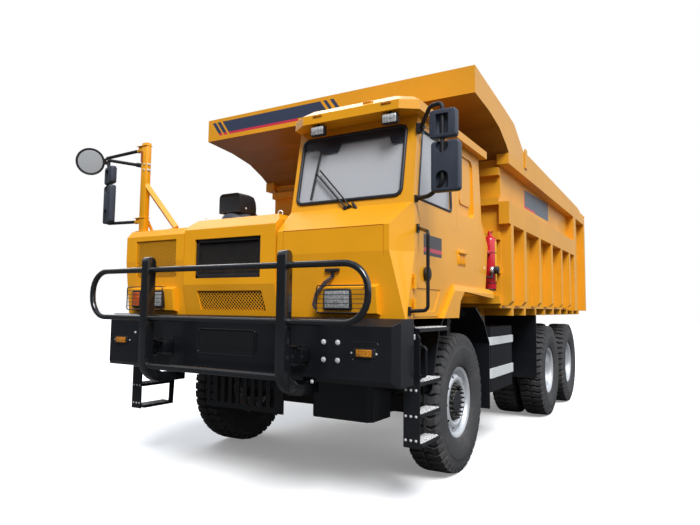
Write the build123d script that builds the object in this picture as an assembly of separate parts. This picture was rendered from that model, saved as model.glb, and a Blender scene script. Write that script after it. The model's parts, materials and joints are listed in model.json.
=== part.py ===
from build123d import *
from math import cos, pi, sin
import os

# Mining dump truck, 6x4, millimetres. The sizes below are set in the truck's own measuring
# frame: x across from the centreline (+ is the cab side), y back from the front axle, z up
# from the ground. The truck faces -y. ORIGIN moves all of it to the middle of its box.

# Fits
SEAT_GAP = 0.3
RUNNING_GAP = 0.3
BAR_SIDES = 12

# Tyres. Each is a ring with as many flats as it has lugs.
TYRE_R = 695
LUG_COUNT = 16
LUG_DEPTH = 42
LUG_TIP = 150
LUG_ROOT = 172
TREAD_HALF = 165
BULGE_X = 185
BULGE_R = 520

# Rims and hubs
RIM_R = 318
RIM_W = 252
FLANGE_R = 353
FLANGE_T = 12
BEAD_RISE = 5
BARREL_R = 298
DISH_R = 225
HUB_R = 110
HAND_HOLES = 10
HAND_HOLE_R = 18
HAND_HOLE_AT = 262
SPINDLE_R = 60
DRIVE_SPINDLE_R = 75

# Axles and steering
FRONT_WHEEL_X = 1345
TWIN_OUTER_X = 1450
TWIN_INNER_X = 1020
TWIN_X = (TWIN_OUTER_X + TWIN_INNER_X) / 2
AXLE_2_Y = 3825
AXLE_3_Y = AXLE_2_Y + 1645
KINGPIN_X = 1130
KINGPIN_R = 40
BOSS_R = 72
BOSS_HALF = 95
EAR_T = 65
EAR_GAP = 5
STEER_ARM_Y = 300
STEER_ARM_T = 40
BALL_R = 14
TIE_ROD_DROP = 200
TIE_ROD_R = 22
HOUSING_R = 108
BANJO_R = 230
BRAKE_R = 235
NOSE_REACH = 420
SHAFT_R = 60
SPRING_SEAT = 110
SPRING_W = 120
SPRING_X = 480

# Frame
RAIL_IN = 380
RAIL_OUT = 460
RAIL_WEB = 14
RAIL_FLANGE = 20
RAIL_Z = (1080, 1440)
FRAME_FRONT_Y = -1726
FRAME_REAR_Y = 6300
DECK_Z = 1550
FRONT_BEAM_Y = (-1500, -1400)
FRONT_BEAM_X = 1530
REAR_MEMBER_Y = 6180
REAR_MEMBER_Z = (1150, 1400)
HITCH_PITCH = 150
HITCH_HOLE_R = 11
CAB_ARM_Y = (-520, -440)
ARCH_ARM_Y = (370, 450)
ARM_W = 110

# Engine and gearbox
ENGINE_X = 340
ENGINE_Y = (-1250, -160)
ENGINE_Z = (850, 1900)
GEARBOX_REAR_Y = 480

# Bumper and bull bar
BUMPER_X = 1660
BUMPER_FACE_X = 1607
BUMPER_FRONT_Y = -1786
BUMPER_Z = (1035, DECK_Z)
BUMPER_PLATE = 60
GUARD_Y = -2050
POST_X = 780
POST_W = 150
POST_D = 100
POST_TOP_Z = 2080
HOOK_Z = 930
HOOK_REAR_Y = -1600
HOOK_T = 85
LOOP_X = 1550
LOOP_Z = (1520, 1960)
TUBE_R = 27
TUBE_SIDES = 8
LOOP_BEND = 200
LOW_BAR_Z = 1090
TOW_Z = (1220, 1280)
TOW_R = 26
TOW_BRACKET_X = 70
TURN_LAMP = (140, 65, 25)

# Hood and side box
FRONT_Y = -1620
FRONT_FOOT_Y = -1560
HOOD_FOLD_Z = 1840
HOOD_X = (-760, 370)
HOOD_TOP_Z = 2487
HOOD_REAR_Y = 150
HOOD_WALL = 30
HOOD_BEVEL = 60
GRILLE_X = (-620, 200)
GRILLE_Z = (1900, 2280)
GRILLE_RIM = 35
GRILLE_PITCH = 40
VENT_X = (-590, 220)
VENT_Z = (1600, 1780)
BOX_X = (-1620, -770)
BOX_TOP_Z = 2420
BOX_VENT_X = (-1470, -880)
BOX_VENT_Z = (1920, 2300)
VENT_DEPTH = 45
CORNER_X = 120
CORNER_Y = 220
CORNER_FOOT_Y = -1550

# Cab
CAB_X = (390, 1620)
CAB_FOLD_Z = 2090
COWL_Y = -1420
COWL_Z = 2500
CAB_TOP_Z = 3270
ARCH_Z = 1810
CAB_WALL = 40
CAB_HEAD_Y = -1280
# The cab's rear wall from the arch up, as (y, z)
CAB_REAR = [(470, ARCH_Z), (570, 2325), (375, 2575), (340, CAB_TOP_Z)]
BELT_LINE_Z = 2410
TUMBLEHOME = 26
# Windows: the two spans of each
WINDSCREEN = ((450, 1500), (2570, 3190))
LEFT_WINDOW = ((-1080, -200), (2570, 3160))
REAR_WINDOW = ((600, 1400), (2600, 3150))
BLANK_WINDOW = ((-330, 120), (2570, 3175))
BLANK_DEPTH = 12
SEAM = 7
LID_X = (450, 1450)
LID_Z = (1880, 2300)
GLASS = 6
ROOF_EDGE_Z = 3350
ROOF_Z = 3420
DOOR_GAP = 6
DOOR_WINDOW = [(-1320, 2545), (-545, 2545), (-560, 3160), (-1195, 3160)]
DOOR_PANEL = [(-1378, 1610), (-980, 1610), (-840, 1800), (-1378, 1800)]
HINGE = (1637, -1430)
HINGE_R = 16
HINGE_PIN_R = 8
HINGE_HEIGHTS = (1650, 1850)
HINGE_LEAF = 20
FLARE = 45

# Lamps
POD_Z = (1575, 1825)
POD_DEPTH = 60
POD_LEFT_X = (-1500, -880)
POD_RIGHT_X = (820, 1400)
LAMP_Z = (1612, 1788)
LAMP_DEPTH = 40
ROOF_LAMP_Y = -1485
ROOF_LAMP_X = (703, 1422)
ROOF_LAMP_W = 150
ROOF_LAMP_H = 95
TAIL_BAR_Z = (1085, 1145)
TAIL_LAMP_X = (720, 1040)

# Steps
STEP_X = (1535, 1680)
STEP_FRONT_Y = -1430
STEP_T = 30
STEP_PLATE = 12
RAIL_AT = (1780, -1502)
RAIL_R = 15

# Tanks
TANK_X = (700, 1530)
TANK_Y = (880, 1940)
TANK_Z = (680, 1430)
TANK_CHAMFER = 70
STRAP_PROUD = 15

# Dump body
BODY_HALF = 1780
RIB_DEPTH = 120
WALL_X = BODY_HALF - RIB_DEPTH
WALL = 20
BODY_FRONT_Y = 950
BODY_REAR_Y = 6480
FLOOR_Z = (1650, 1675)
CROSS_Z = 1560
BELT_Z = (2620, 2880)
TOP_RAIL_Z = (3320, 3445)
BELT_REAR_Y = 5440
RIB_Z = 1700
RIB_W = 110
BEAM_DEPTH = 70
BEAM_H = 90
CROSS_START_Y = 1400
CROSS_PITCH = 610
CROSS_W = 90
BOARD_RISE = 195
CANOPY_Y = -320
CANOPY_Z = (3756, 4035)
CHEEK_REAR_Y = 1695
GUSSET_X = 620
PIVOT_Y = 6150
PIVOT_Z = 1300
PIVOT_R = 40
LUG_GAP = 15
PIVOT_LUG_T = 45
GATE_HINGE = (6520, 3500)
GATE_PIN_R = 25
GATE_REACH = 60
GATE_SIDE = 30
EAR_OUT = 35
GATE_EAR_T = 30
WELL_X = 190
WELL_Y = 330
WELL_TOP_Z = 3040

# Hoist cylinder, front mounted
HOIST_Y = 600
HOIST_FOOT_Z = 1250
HOIST_EYE_Z = 3250
HOIST_EYE_R = 60
HOIST_PIN_R = 30
HOIST_LENGTH = 1690
STAGE_R = (120, 105, 90, 75)
STAGE_SIDES = 20
STAGE_GAP = 0.5
STAGE_RISE = 40

# Mirrors
MIRROR_Y = -1500
LEFT_REACH = 2600
RIGHT_REACH = 2050
DISC_R = 160
DISC_X = -2490
DISC_Z = 3315
DISC_T = 40
DISC_FACING = (0.80, -0.57, -0.18)
LEFT_BAR_X = -2150
MIRROR_TUBE_R = 18
MIRROR_POST_X = (-1560, -1475)
MIRROR_POST_D = 65
MIRROR_POST_TOP_Z = 3400

ORIGIN = Pos((LEFT_REACH - RIGHT_REACH) / 2, -(GUARD_Y - POST_D / 2 + GATE_HINGE[0] + GATE_REACH) / 2, 0)


# Helpers

def block(x, y, z):
    """A box from three (low, high) pairs."""
    pairs = [sorted(pair) for pair in (x, y, z)]
    middle = [(low + high) / 2 for low, high in pairs]
    return Pos(*middle) * Box(*[high - low for low, high in pairs])


def side_plate(outline, x):
    """A plate whose outline is (y, z) points, between two x values."""
    low, high = sorted(x)
    return extrude(Plane.YZ.offset(low) * make_face(Polyline(*outline, close=True)), amount=high - low)


def front_plate(outline, y):
    """A plate whose outline is (x, z) points, between two y values."""
    low, high = sorted(y)
    return extrude(Plane.XZ.offset(-high) * make_face(Polyline(*outline, close=True)), amount=high - low)


def top_plate(outline, z):
    """A plate whose outline is (x, y) points, between two z values."""
    low, high = sorted(z)
    return extrude(Plane.XY.offset(low) * make_face(Polyline(*outline, close=True)), amount=high - low)


def cut_corners(u, v, corner):
    """The outline of a rectangle from two (low, high) pairs with its corners cut."""
    (u0, u1), (v0, v1) = u, v
    return [(u0 + corner, v0), (u1 - corner, v0), (u1, v0 + corner), (u1, v1 - corner),
            (u1 - corner, v1), (u0 + corner, v1), (u0, v1 - corner), (u0, v0 + corner)]


def pin(start, end, radius):
    """A true round pin, shaft or bore between two points."""
    start, end = Vector(*start), Vector(*end)
    along = end - start
    return Plane(origin=start, z_dir=along) * Cylinder(
        radius, along.length, align=(Align.CENTER, Align.CENTER, Align.MIN))


def rod(start, end, radius, sides=BAR_SIDES):
    """A bar between two points whose section is a regular polygon."""
    start, end = Vector(*start), Vector(*end)
    along = end - start
    return extrude(Plane(origin=start, z_dir=along) * RegularPolygon(radius, sides), amount=along.length)


def pipe(points, radius, bend, sides=TUBE_SIDES):
    """A tube along straight runs joined by tangent arcs."""
    path = FilletPolyline(*points, radius=bend)
    return sweep(Plane(origin=path @ 0, z_dir=path % 0) * RegularPolygon(radius, sides), path=path)


def faceted(outline, sides=LUG_COUNT):
    """A body about x from a closed loop of (x, radius) points, made of flat facets."""
    half = pi / sides
    angles = [half + 2 * half * k - pi / 2 for k in range(sides)]
    faces = []
    for (x0, r0), (x1, r1) in zip(outline, outline[1:] + outline[:1]):
        if r0 == 0 and r1 == 0:
            continue
        for k in range(sides):
            a, b = angles[k - 1], angles[k]
            corners = [(x0, r0, a), (x1, r1, a), (x1, r1, b), (x0, r0, b)]
            if r0 == 0:
                corners = corners[:3]
            elif r1 == 0:
                corners = [corners[0], corners[1], corners[3]]
            points = [Vector(x, r * cos(t), r * sin(t)) for x, r, t in corners]
            faces.append(Face(Wire.make_polygon(points, close=True)))
    solid = Solid(Shell(faces))
    return solid if solid.volume > 0 else Solid(solid.wrapped.Reversed())


def both(shape):
    """The shape and its mirror image across the truck's centreline."""
    return [shape, mirror(shape, about=Plane.YZ)]


def joined(*shapes):
    """One shape fused from several."""
    flat = []
    for shape in shapes:
        flat.extend(shape if isinstance(shape, list) else [shape])
    return flat[0].fuse(*flat[1:]) if len(flat) > 1 else flat[0]


def apart(*shapes):
    """One compound of several shapes that don't touch."""
    flat = []
    for shape in shapes:
        flat.extend(shape if isinstance(shape, list) else [shape])
    return Compound([solid for shape in flat for solid in shape.solids()])


# Frame and driveline

def chassis_frame():
    """The two channel rails, each with the brackets that it carries."""
    z0, z1 = RAIL_Z
    rail = block((RAIL_IN, RAIL_OUT), (FRAME_FRONT_Y, FRAME_REAR_Y), RAIL_Z)
    rail -= block((RAIL_IN - 1, RAIL_OUT - RAIL_WEB), (FRAME_FRONT_Y - 1, FRAME_REAR_Y + 1),
                  (z0 + RAIL_FLANGE, z1 - RAIL_FLANGE))
    carried = []
    # Arms under the cab and the side box: y span, top z, outer x
    for span, top, reach in ((CAB_ARM_Y, DECK_Z, CAB_X[1] - 60), (ARCH_ARM_Y, ARCH_Z, KINGPIN_X + 40)):
        carried.append(block((RAIL_OUT, reach), span, (z1 - 60, z1 + 50)))
        carried.append(block((reach - ARM_W, reach), span, (z1 + 50, top)))
        carried.append(block((RAIL_OUT, RAIL_OUT + ARM_W), span, (z1 + 50, top)))
    middle = (AXLE_2_Y + AXLE_3_Y) / 2
    carried.append(block((RAIL_IN + 20, RAIL_OUT), (middle - 100, middle + 100), (z0 - 280, z0)))
    for y in (TANK_Y[0] + 130, TANK_Y[1] - 150):
        carried.append(block((RAIL_OUT, TANK_X[0]), (y, y + 60), (z0 + 40, z0 + 100)))
    carried.append(pin((RAIL_OUT - RAIL_WEB, PIVOT_Y, PIVOT_Z),
                       (RAIL_OUT + LUG_GAP + PIVOT_LUG_T + 15, PIVOT_Y, PIVOT_Z),
                       PIVOT_R))
    return apart(both(joined(rail, carried)))


def cross_members():
    """The members between the rails, the beam that carries the bumper and the bar behind the frame."""
    reach = RAIL_OUT - RAIL_WEB - SEAT_GAP
    z0 = RAIL_Z[0]
    # Members: y from, y to, z from, z to
    spans = [(FRAME_FRONT_Y + 26, FRAME_FRONT_Y + 86, z0 + 70, z0 + 270), (1300, 1400, z0 + 70, z0 + 270),
             (2600, 2700, z0 + 70, z0 + 270), (4560, 4740, z0 + 40, z0 + 320)]
    members = [block((-reach, reach), (a, b), (c, d)) for a, b, c, d in spans]
    front = block((-FRONT_BEAM_X, FRONT_BEAM_X), FRONT_BEAM_Y, (RAIL_Z[1], DECK_Z))
    foot = block((-reach, reach), (HOIST_Y - 70, HOIST_Y + 70), (z0 + RAIL_FLANGE, z0 + 85))
    # The pin's ears end low enough to clear the barrel when it leans
    ear = [(HOIST_Y - 70, z0 + 85), (HOIST_Y + 70, z0 + 85), (HOIST_Y + 50, HOIST_FOOT_Z),
           (HOIST_Y + 28, HOIST_FOOT_Z + 38), (HOIST_Y - 28, HOIST_FOOT_Z + 38), (HOIST_Y - 50, HOIST_FOOT_Z)]
    ears = both(side_plate(ear, (HOIST_EYE_R + 10, HOIST_EYE_R + 40)))
    foot_pin = pin((-HOIST_EYE_R - 40, HOIST_Y, HOIST_FOOT_Z), (HOIST_EYE_R + 40, HOIST_Y, HOIST_FOOT_Z),
                   HOIST_PIN_R)
    rear = block((-reach, reach), (REAR_MEMBER_Y, FRAME_REAR_Y), REAR_MEMBER_Z)
    z = sum(REAR_MEMBER_Z) / 2
    half = HITCH_PITCH / 2
    holes = [pin((x, REAR_MEMBER_Y - 5, z + dz), (x, FRAME_REAR_Y + 5, z + dz), HITCH_HOLE_R)
             for x in (-half, half) for dz in (-half, half)]
    bar = block((-TAIL_LAMP_X[1] - 10, TAIL_LAMP_X[1] + 10), (FRAME_REAR_Y, FRAME_REAR_Y + 30), TAIL_BAR_Z)
    feet = [both(block((ENGINE_X, reach), (y, y + 90), (z0 + RAIL_FLANGE + 10, z0 + 180)))
            for y in (ENGINE_Y[0] + 350, ENGINE_Y[1] - 340)]
    return apart(members, front, joined(foot, ears, foot_pin), rear - Compound(holes), bar, *feet)


def engine():
    return block((-ENGINE_X, ENGINE_X), ENGINE_Y, ENGINE_Z)


def driveline():
    y0, y1 = ENGINE_Y[1], GEARBOX_REAR_Y
    gearbox = top_plate([(-230, y0), (230, y0), (230, y0 + 260), (150, y1), (-150, y1), (-230, y0 + 260)],
                        (860, 1280))
    nose = AXLE_2_Y - NOSE_REACH
    low = TYRE_R + 45
    drop = (1000 - low) / (nose - y1)
    shaft = rod((0, y1, 1000), (0, nose - SHAFT_R * drop - SEAT_GAP, low), SHAFT_R)
    joints = rod((0, y1, 1000), (0, y1 + 60, 1000), SHAFT_R + 30)
    between = rod((0, AXLE_2_Y + 260 + SEAT_GAP, TYRE_R + 25),
                  (0, AXLE_3_Y - NOSE_REACH - SEAT_GAP, TYRE_R + 25), 50)
    return apart(joined(gearbox, shaft, joints), between)


def axles():
    z = TYRE_R
    x = KINGPIN_X
    low, high = z - 175, z + 5
    half = [(700, low), (x - 110, z - BOSS_HALF + 5), (x - 20, z - BOSS_HALF + 5), (x - 20, z + 45),
            (x - 110, z + 45),
            (700, high)]
    beam = front_plate(half + [(-u, v) for u, v in reversed(half)], (-60, 60))
    perches = both(block((RAIL_IN, RAIL_OUT + 10), (-SPRING_SEAT, SPRING_SEAT), (high, z + 95)))
    boss = Pos(x, 0, z) * Cylinder(BOSS_R, 2 * BOSS_HALF)
    bore = Pos(x, 0, z) * Cylinder(KINGPIN_R + RUNNING_GAP, 4 * BOSS_HALF)
    front = joined(beam, perches, both(boss)) - Compound(both(bore))
    hub_in = TWIN_X - 225
    rear = []
    for y in (AXLE_2_Y, AXLE_3_Y):
        housing = rod((-hub_in, y, z), (hub_in, y, z), HOUSING_R)
        drums = both(rod((850, y, z), (950, y, z), BRAKE_R))
        spindle = pin((-TWIN_X - 95, y, z), (TWIN_X + 95, y, z), DRIVE_SPINDLE_R)
        bell = rod((0, y - 260, z), (0, y + 260, z), BANJO_R)
        nose = rod((0, y - NOSE_REACH, z + 25), (0, y - 260, z + 25), HOUSING_R)
        seats = both(block((SPRING_X, SPRING_X + SPRING_W), (y - 100, y + 100), (z, z + SPRING_SEAT)))
        rear.append(joined(housing, drums, spindle, bell, nose, seats))
    return apart(front, rear)


def springs():
    base = TYRE_R + 95
    top = RAIL_Z[0]
    leaf = [(-800, top - 70), (-420, base + 60), (-SPRING_SEAT, base), (SPRING_SEAT, base), (420, base + 60),
            (800, top - 70), (800, top), (740, top), (740, top - 50), (400, base + 140), (0, base + 100),
            (-400, base + 140), (-740, top - 50), (-740, top), (-800, top)]
    front = both(side_plate(leaf, (RAIL_IN, RAIL_OUT)))
    a, b = AXLE_2_Y, AXLE_3_Y
    m = (a + b) / 2
    seat = TYRE_R + SPRING_SEAT
    pack = [(a - 100, seat), (a + 100, seat), (m - 150, seat + 125), (m - 100, seat + 15),
            (m + 100, seat + 15), (m + 150, seat + 125), (b - 100, seat), (b + 100, seat),
            (b + 100, seat + 75), (m + 150, seat + 255), (m - 150, seat + 255), (a - 100, seat + 75)]
    saddle = rod((RAIL_OUT, m, seat + 70), (SPRING_X, m, seat + 70), 50)
    rear = both(joined(side_plate(pack, (SPRING_X, SPRING_X + SPRING_W)), saddle))
    return apart(front, rear)


# Wheels

def lug_ring():
    """The tread: a toothed ring, one tooth to each flat of the tyre."""
    root = TYRE_R - LUG_DEPTH
    outline = []
    for k in range(LUG_COUNT):
        t = 2 * pi * k / LUG_COUNT - pi / 2
        for along, out in ((-LUG_ROOT / 2, root), (-LUG_TIP / 2, TYRE_R), (LUG_TIP / 2, TYRE_R),
                           (LUG_ROOT / 2, root)):
            outline.append((out * cos(t) - along * sin(t), out * sin(t) + along * cos(t)))
    ring = side_plate(outline, (-TREAD_HALF, TREAD_HALF))
    inner = (BULGE_R + root) / 2
    hole = [(inner * cos(t), inner * sin(t)) for t in (2 * pi * k / LUG_COUNT for k in range(LUG_COUNT))]
    return ring - side_plate(hole, (-TREAD_HALF - 1, TREAD_HALF + 1))


def tyre():
    half = RIM_W / 2
    crown = TYRE_R - LUG_DEPTH - 15
    right = [(half - SEAT_GAP, RIM_R + SEAT_GAP), (half - SEAT_GAP, FLANGE_R + BEAD_RISE), (BULGE_X, BULGE_R),
             (TREAD_HALF, crown)]
    return joined(faceted(right + [(-x, r) for x, r in reversed(right)]), lug_ring())


def front_rim():
    half, tip = RIM_W / 2, RIM_W / 2 + FLANGE_T
    bore = (SPINDLE_R + RUNNING_GAP) / cos(pi / LUG_COUNT)
    outline = [(-tip, FLANGE_R), (-half, FLANGE_R), (-half, RIM_R), (half, RIM_R), (half, FLANGE_R),
               (tip, FLANGE_R),
               (108, BARREL_R), (118, DISH_R), (85, 172), (85, HUB_R), (125, HUB_R - 15), (125, 0), (80, 0),
               (80, bore), (-60, bore), (-60, 130), (50, 150), (60, 240), (20, BARREL_R), (-108, BARREL_R)]
    holes = []
    for k in range(HAND_HOLES):
        t = 2 * pi * (k + 0.5) / HAND_HOLES
        y, z = HAND_HOLE_AT * cos(t), HAND_HOLE_AT * sin(t)
        holes.append(rod((20, y, z), (130, y, z), HAND_HOLE_R, 6))
    return faceted(outline) - Compound(holes)


def twin_rim():
    gap = (TWIN_OUTER_X - TWIN_INNER_X) / 2
    half, tip = RIM_W / 2, RIM_W / 2 + FLANGE_T
    bore = (DRIVE_SPINDLE_R + RUNNING_GAP) / cos(pi / LUG_COUNT)
    outline = [(-gap - tip, FLANGE_R), (-gap - half, FLANGE_R), (-gap - half, RIM_R), (half - gap, RIM_R),
               (half - gap, FLANGE_R - 8), (gap - half, FLANGE_R - 8), (gap - half, RIM_R),
               (gap + half, RIM_R), (gap + half, FLANGE_R), (gap + tip, FLANGE_R), (gap + 105, BARREL_R),
               (120, BARREL_R), (40, 215), (40, 150), (250, 140), (265, HUB_R), (265, 0), (100, 0),
               (100, bore), (-225, bore), (-225, 140),
               (-60, BARREL_R), (-gap - 105, BARREL_R)]
    return faceted(outline)


def knuckle():
    x, z = KINGPIN_X, TYRE_R
    low, high = BOSS_HALF + EAR_GAP, BOSS_HALF + EAR_GAP + EAR_T
    web_in = x + BOSS_R + EAR_GAP
    kingpin = Pos(x, 0, z) * Cylinder(KINGPIN_R, 2 * high)
    ears = [block((x - 60, web_in), (-70, 70), (z + s * low, z + s * high)) for s in (-1, 1)]
    web = block((web_in, web_in + 45), (-80, 80), (z - high, z + high))
    spindle = pin((web_in + 40, 0, z), (FRONT_WHEEL_X + 75, 0, z), SPINDLE_R)
    y = STEER_ARM_Y
    arm = top_plate([(x - 40, -20), (x + 40, -20), (x + 34, y - 20), (x + 30, y + 30), (x - 30, y + 30),
                     (x - 34, y - 20)],
                    (z - high, z - high + STEER_ARM_T))
    ball = pin((x, y, z - TIE_ROD_DROP - 20), (x, y, z - high + 5), BALL_R)
    return joined(kingpin, ears, web, spindle, arm, ball)


def tie_rod():
    z = TYRE_R - TIE_ROD_DROP
    x, y = KINGPIN_X, STEER_ARM_Y
    bar = rod((-x, y, z), (x, y, z), TIE_ROD_R, TUBE_SIDES)
    eyes = both(rod((x, y, z - 25), (x, y, z + 25), 38))
    bores = both(pin((x, y, z - 45), (x, y, z + 45), BALL_R + RUNNING_GAP))
    return joined(bar, eyes) - Compound(bores)


# Front of the truck

def front_bumper():
    z0, z1 = BUMPER_Z
    back = FRONT_BEAM_Y[0]
    side = [(back, z0), (BUMPER_FRONT_Y + 46, z0), (BUMPER_FRONT_Y, z0 + 40), (BUMPER_FRONT_Y, z1 - 58),
            (BUMPER_FRONT_Y + 86, z1), (back, z1)]
    bevel = BUMPER_X - BUMPER_FACE_X
    plan = [(-BUMPER_X, back), (-BUMPER_X, BUMPER_FRONT_Y + bevel), (-BUMPER_FACE_X, BUMPER_FRONT_Y),
            (BUMPER_FACE_X, BUMPER_FRONT_Y), (BUMPER_X, BUMPER_FRONT_Y + bevel), (BUMPER_X, back)]
    shell = side_plate(side, (-BUMPER_X, BUMPER_X)) & top_plate(plan, BUMPER_Z)
    hollow = block((BUMPER_PLATE - BUMPER_X, BUMPER_X - BUMPER_PLATE), (BUMPER_FRONT_Y + BUMPER_PLATE, back),
                   (z0 + 25, z1 - 25))
    mesh = front_plate(cut_corners((-365, 335), (z0 + 200, z0 + 385), 30),
                       (BUMPER_FRONT_Y - 1, BUMPER_FRONT_Y + 12))
    return shell - hollow - mesh


def guard_post():
    """One upright: rounded at the top, hooked back under the bumper at the bottom."""
    y0, y1 = GUARD_Y - POST_D / 2, GUARD_Y + POST_D / 2
    bend = HOOK_Z + 250
    top = POST_TOP_Z - POST_D / 2
    low, high = HOOK_Z, HOOK_Z + HOOK_T
    out, inn = (y0 + 60, HOOK_Z + 75), (y1 + 45, high + 60)
    rim = [Line((y0, bend), (y0, top)), ThreePointArc((y0, top), (GUARD_Y, POST_TOP_Z), (y1, top)),
           Line((y1, top), (y1, bend)), ThreePointArc((y1, bend), inn, (y1 + 150, high)),
           Line((y1 + 150, high), (HOOK_REAR_Y, high)), Line((HOOK_REAR_Y, high), (HOOK_REAR_Y, low)),
           Line((HOOK_REAR_Y, low), (y1 + 130, low)), ThreePointArc((y1 + 130, low), out, (y0, bend))]
    face = make_face(Curve() + rim)
    x0 = POST_X - POST_W / 2
    hook = extrude(Plane.YZ.offset(x0) * face, amount=POST_W)
    tie = block((x0 + 20, x0 + POST_W - 20), (HOOK_REAR_Y - 60, HOOK_REAR_Y), (high, BUMPER_Z[0] - SEAT_GAP))
    return joined(hook, tie)


def bull_bar():
    y1 = GUARD_Y + POST_D / 2
    tow = (y1 + BUMPER_FRONT_Y) / 2
    w = TOW_BRACKET_X
    brackets = both(joined(block((POST_X - w, POST_X + w), (y1, BUMPER_FRONT_Y), TOW_Z),
                           block((POST_X - w, POST_X + w), (BUMPER_FRONT_Y - 14, BUMPER_FRONT_Y),
                                 (TOW_Z[0] - 50, TOW_Z[1] + 60))))
    tow_bores = both(pin((POST_X, tow, TOW_Z[0] - 5), (POST_X, tow, TOW_Z[1] + 5), TOW_R))
    middle = sum(LOOP_Z) / 2
    loop = Plane.XZ.offset(-GUARD_Y) * Pos(0, middle) * RectangleRounded(
        2 * LOOP_X, LOOP_Z[1] - LOOP_Z[0], LOOP_BEND)
    wire = loop.wire()
    tube = sweep(Plane(origin=wire @ 0, z_dir=wire % 0) * RegularPolygon(TUBE_R, TUBE_SIDES), path=wire)
    low = rod((-POST_X, GUARD_Y, LOW_BAR_Z), (POST_X, GUARD_Y, LOW_BAR_Z), TUBE_R + 3)
    return joined(both(guard_post()), brackets, tube, low) - Compound(tow_bores)


def underbody_guards():
    front_y = ENGINE_Y[0] - 62
    plate = joined(block((-700, 260), (front_y, front_y + 12), (640, 1060)),
                   block((-700, RAIL_OUT), (front_y - 28, front_y + 22), (1060, RAIL_Z[0])))
    slots = [front_plate(cut_corners((x, x + 48), (690, 980), 14), (front_y - 20, front_y + 20))
             for x in range(-655, 200, 95)]
    case = joined(top_plate(cut_corners((560, 1180), (-1300, -900), 40), (660, 1000)),
                  block((RAIL_OUT, 1100), (-1200, -1000), (1000, 1100)))
    return apart(plate - Compound(slots), case)


def front_slope(z, fold_z):
    """How far forward a front wall stands at a height below its fold."""
    return FRONT_FOOT_Y + (FRONT_Y - FRONT_FOOT_Y) * (z - DECK_Z) / (fold_z - DECK_Z)


def front_profile(fold_z, shoulder, rear):
    """Outline of a front housing: foot, fold, front top edge, then the points given."""
    return [(FRONT_FOOT_Y, DECK_Z), (FRONT_Y, fold_z)] + shoulder + rear


def hood():
    x0, x1 = HOOD_X
    side = front_profile(HOOD_FOLD_Z, [(FRONT_Y, HOOD_TOP_Z - 107), (FRONT_Y + 120, HOOD_TOP_Z)],
                         [(HOOD_REAR_Y, HOOD_TOP_Z), (HOOD_REAR_Y, DECK_Z)])
    top = [(x0, DECK_Z), (x1, DECK_Z), (x1, HOOD_TOP_Z - HOOD_BEVEL), (x1 - HOOD_BEVEL, HOOD_TOP_Z),
           (x0 + HOOD_BEVEL, HOOD_TOP_Z), (x0, HOOD_TOP_Z - HOOD_BEVEL)]
    shell = side_plate(side, HOOD_X) & front_plate(top, (FRONT_Y, HOOD_REAR_Y))
    inner = block((x0 + HOOD_WALL, x1 - HOOD_WALL), (FRONT_Y + 90, HOOD_REAR_Y - HOOD_WALL),
                  (DECK_Z - 50, HOOD_TOP_Z - 127))
    opening = block(GRILLE_X, (FRONT_Y - 80, FRONT_Y + 120), GRILLE_Z)
    low = VENT_X[0] + 30, VENT_X[1] - 10
    vent = front_plate([(low[0], VENT_Z[0]), (low[1] + 30, VENT_Z[0]), (low[1], VENT_Z[1]),
                        (VENT_X[0], VENT_Z[1])],
                       (FRONT_Y - 10, FRONT_Y + 120))
    return shell - inner - opening - vent


def grille():
    (x0, x1), (z0, z1) = GRILLE_X, GRILLE_Z
    y0 = FRONT_Y + 20
    rim = GRILLE_RIM
    frame = block(GRILLE_X, (y0, y0 + 40), GRILLE_Z)
    frame -= block((x0 + rim, x1 - rim), (y0 - 1, y0 + 41), (z0 + rim, z1 - rim))
    count = int((z1 - z0 - 2 * rim) / GRILLE_PITCH) - 1
    start = z0 + rim + GRILLE_PITCH * 0.6
    bars = [block((x0 + rim - 5, x1 - rim + 5), (y0 + 10, y0 + 28),
                  (start + k * GRILLE_PITCH, start + k * GRILLE_PITCH + 14))
            for k in range(count + 1)]
    return joined(frame, bars)


def arch_profile():
    """The underside of the cab and side box round the front wheel, from front to back."""
    return [(-430, DECK_Z), (-300, 1740), (-170, ARCH_Z)]


def pod(x):
    """A lamp pod on a front wall, with the pocket that its lamp sits in left to the caller."""
    back = [(front_slope(z, CAB_FOLD_Z), z) for z in POD_Z]
    z0, z1 = POD_Z
    out = [(back[0][0] - POD_DEPTH, z0 + 15), (back[1][0] - POD_DEPTH, z1 - 25)]
    solid = side_plate([(back[0][0] + 5, z0), *out, (back[1][0] + 5, z1)], x)
    plan = [(x[0], FRONT_Y + 80), (x[0], FRONT_Y + 10), (x[0] + 22, FRONT_Y - 200),
            (x[1] - 22, FRONT_Y - 200),
            (x[1], FRONT_Y + 10), (x[1], FRONT_Y + 80)]
    return solid & top_plate(plan, POD_Z)


def lamp_pocket(x, gap=0):
    """The room of one lamp in its pod; the lamp itself is the same shape drawn in by a gap."""
    y = front_slope(sum(LAMP_Z) / 2, CAB_FOLD_Z) - POD_DEPTH
    outline = cut_corners((x[0] + gap, x[1] - gap), (LAMP_Z[0] + gap, LAMP_Z[1] - gap), 24)
    return front_plate(outline, (y - 20 + 2 * gap, y + LAMP_DEPTH - gap))


# Front lamps: the x span of each lens
HEADLAMP_SPANS = [(905, 1175), (-1150, -1000), (-1460, -1350)]


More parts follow.
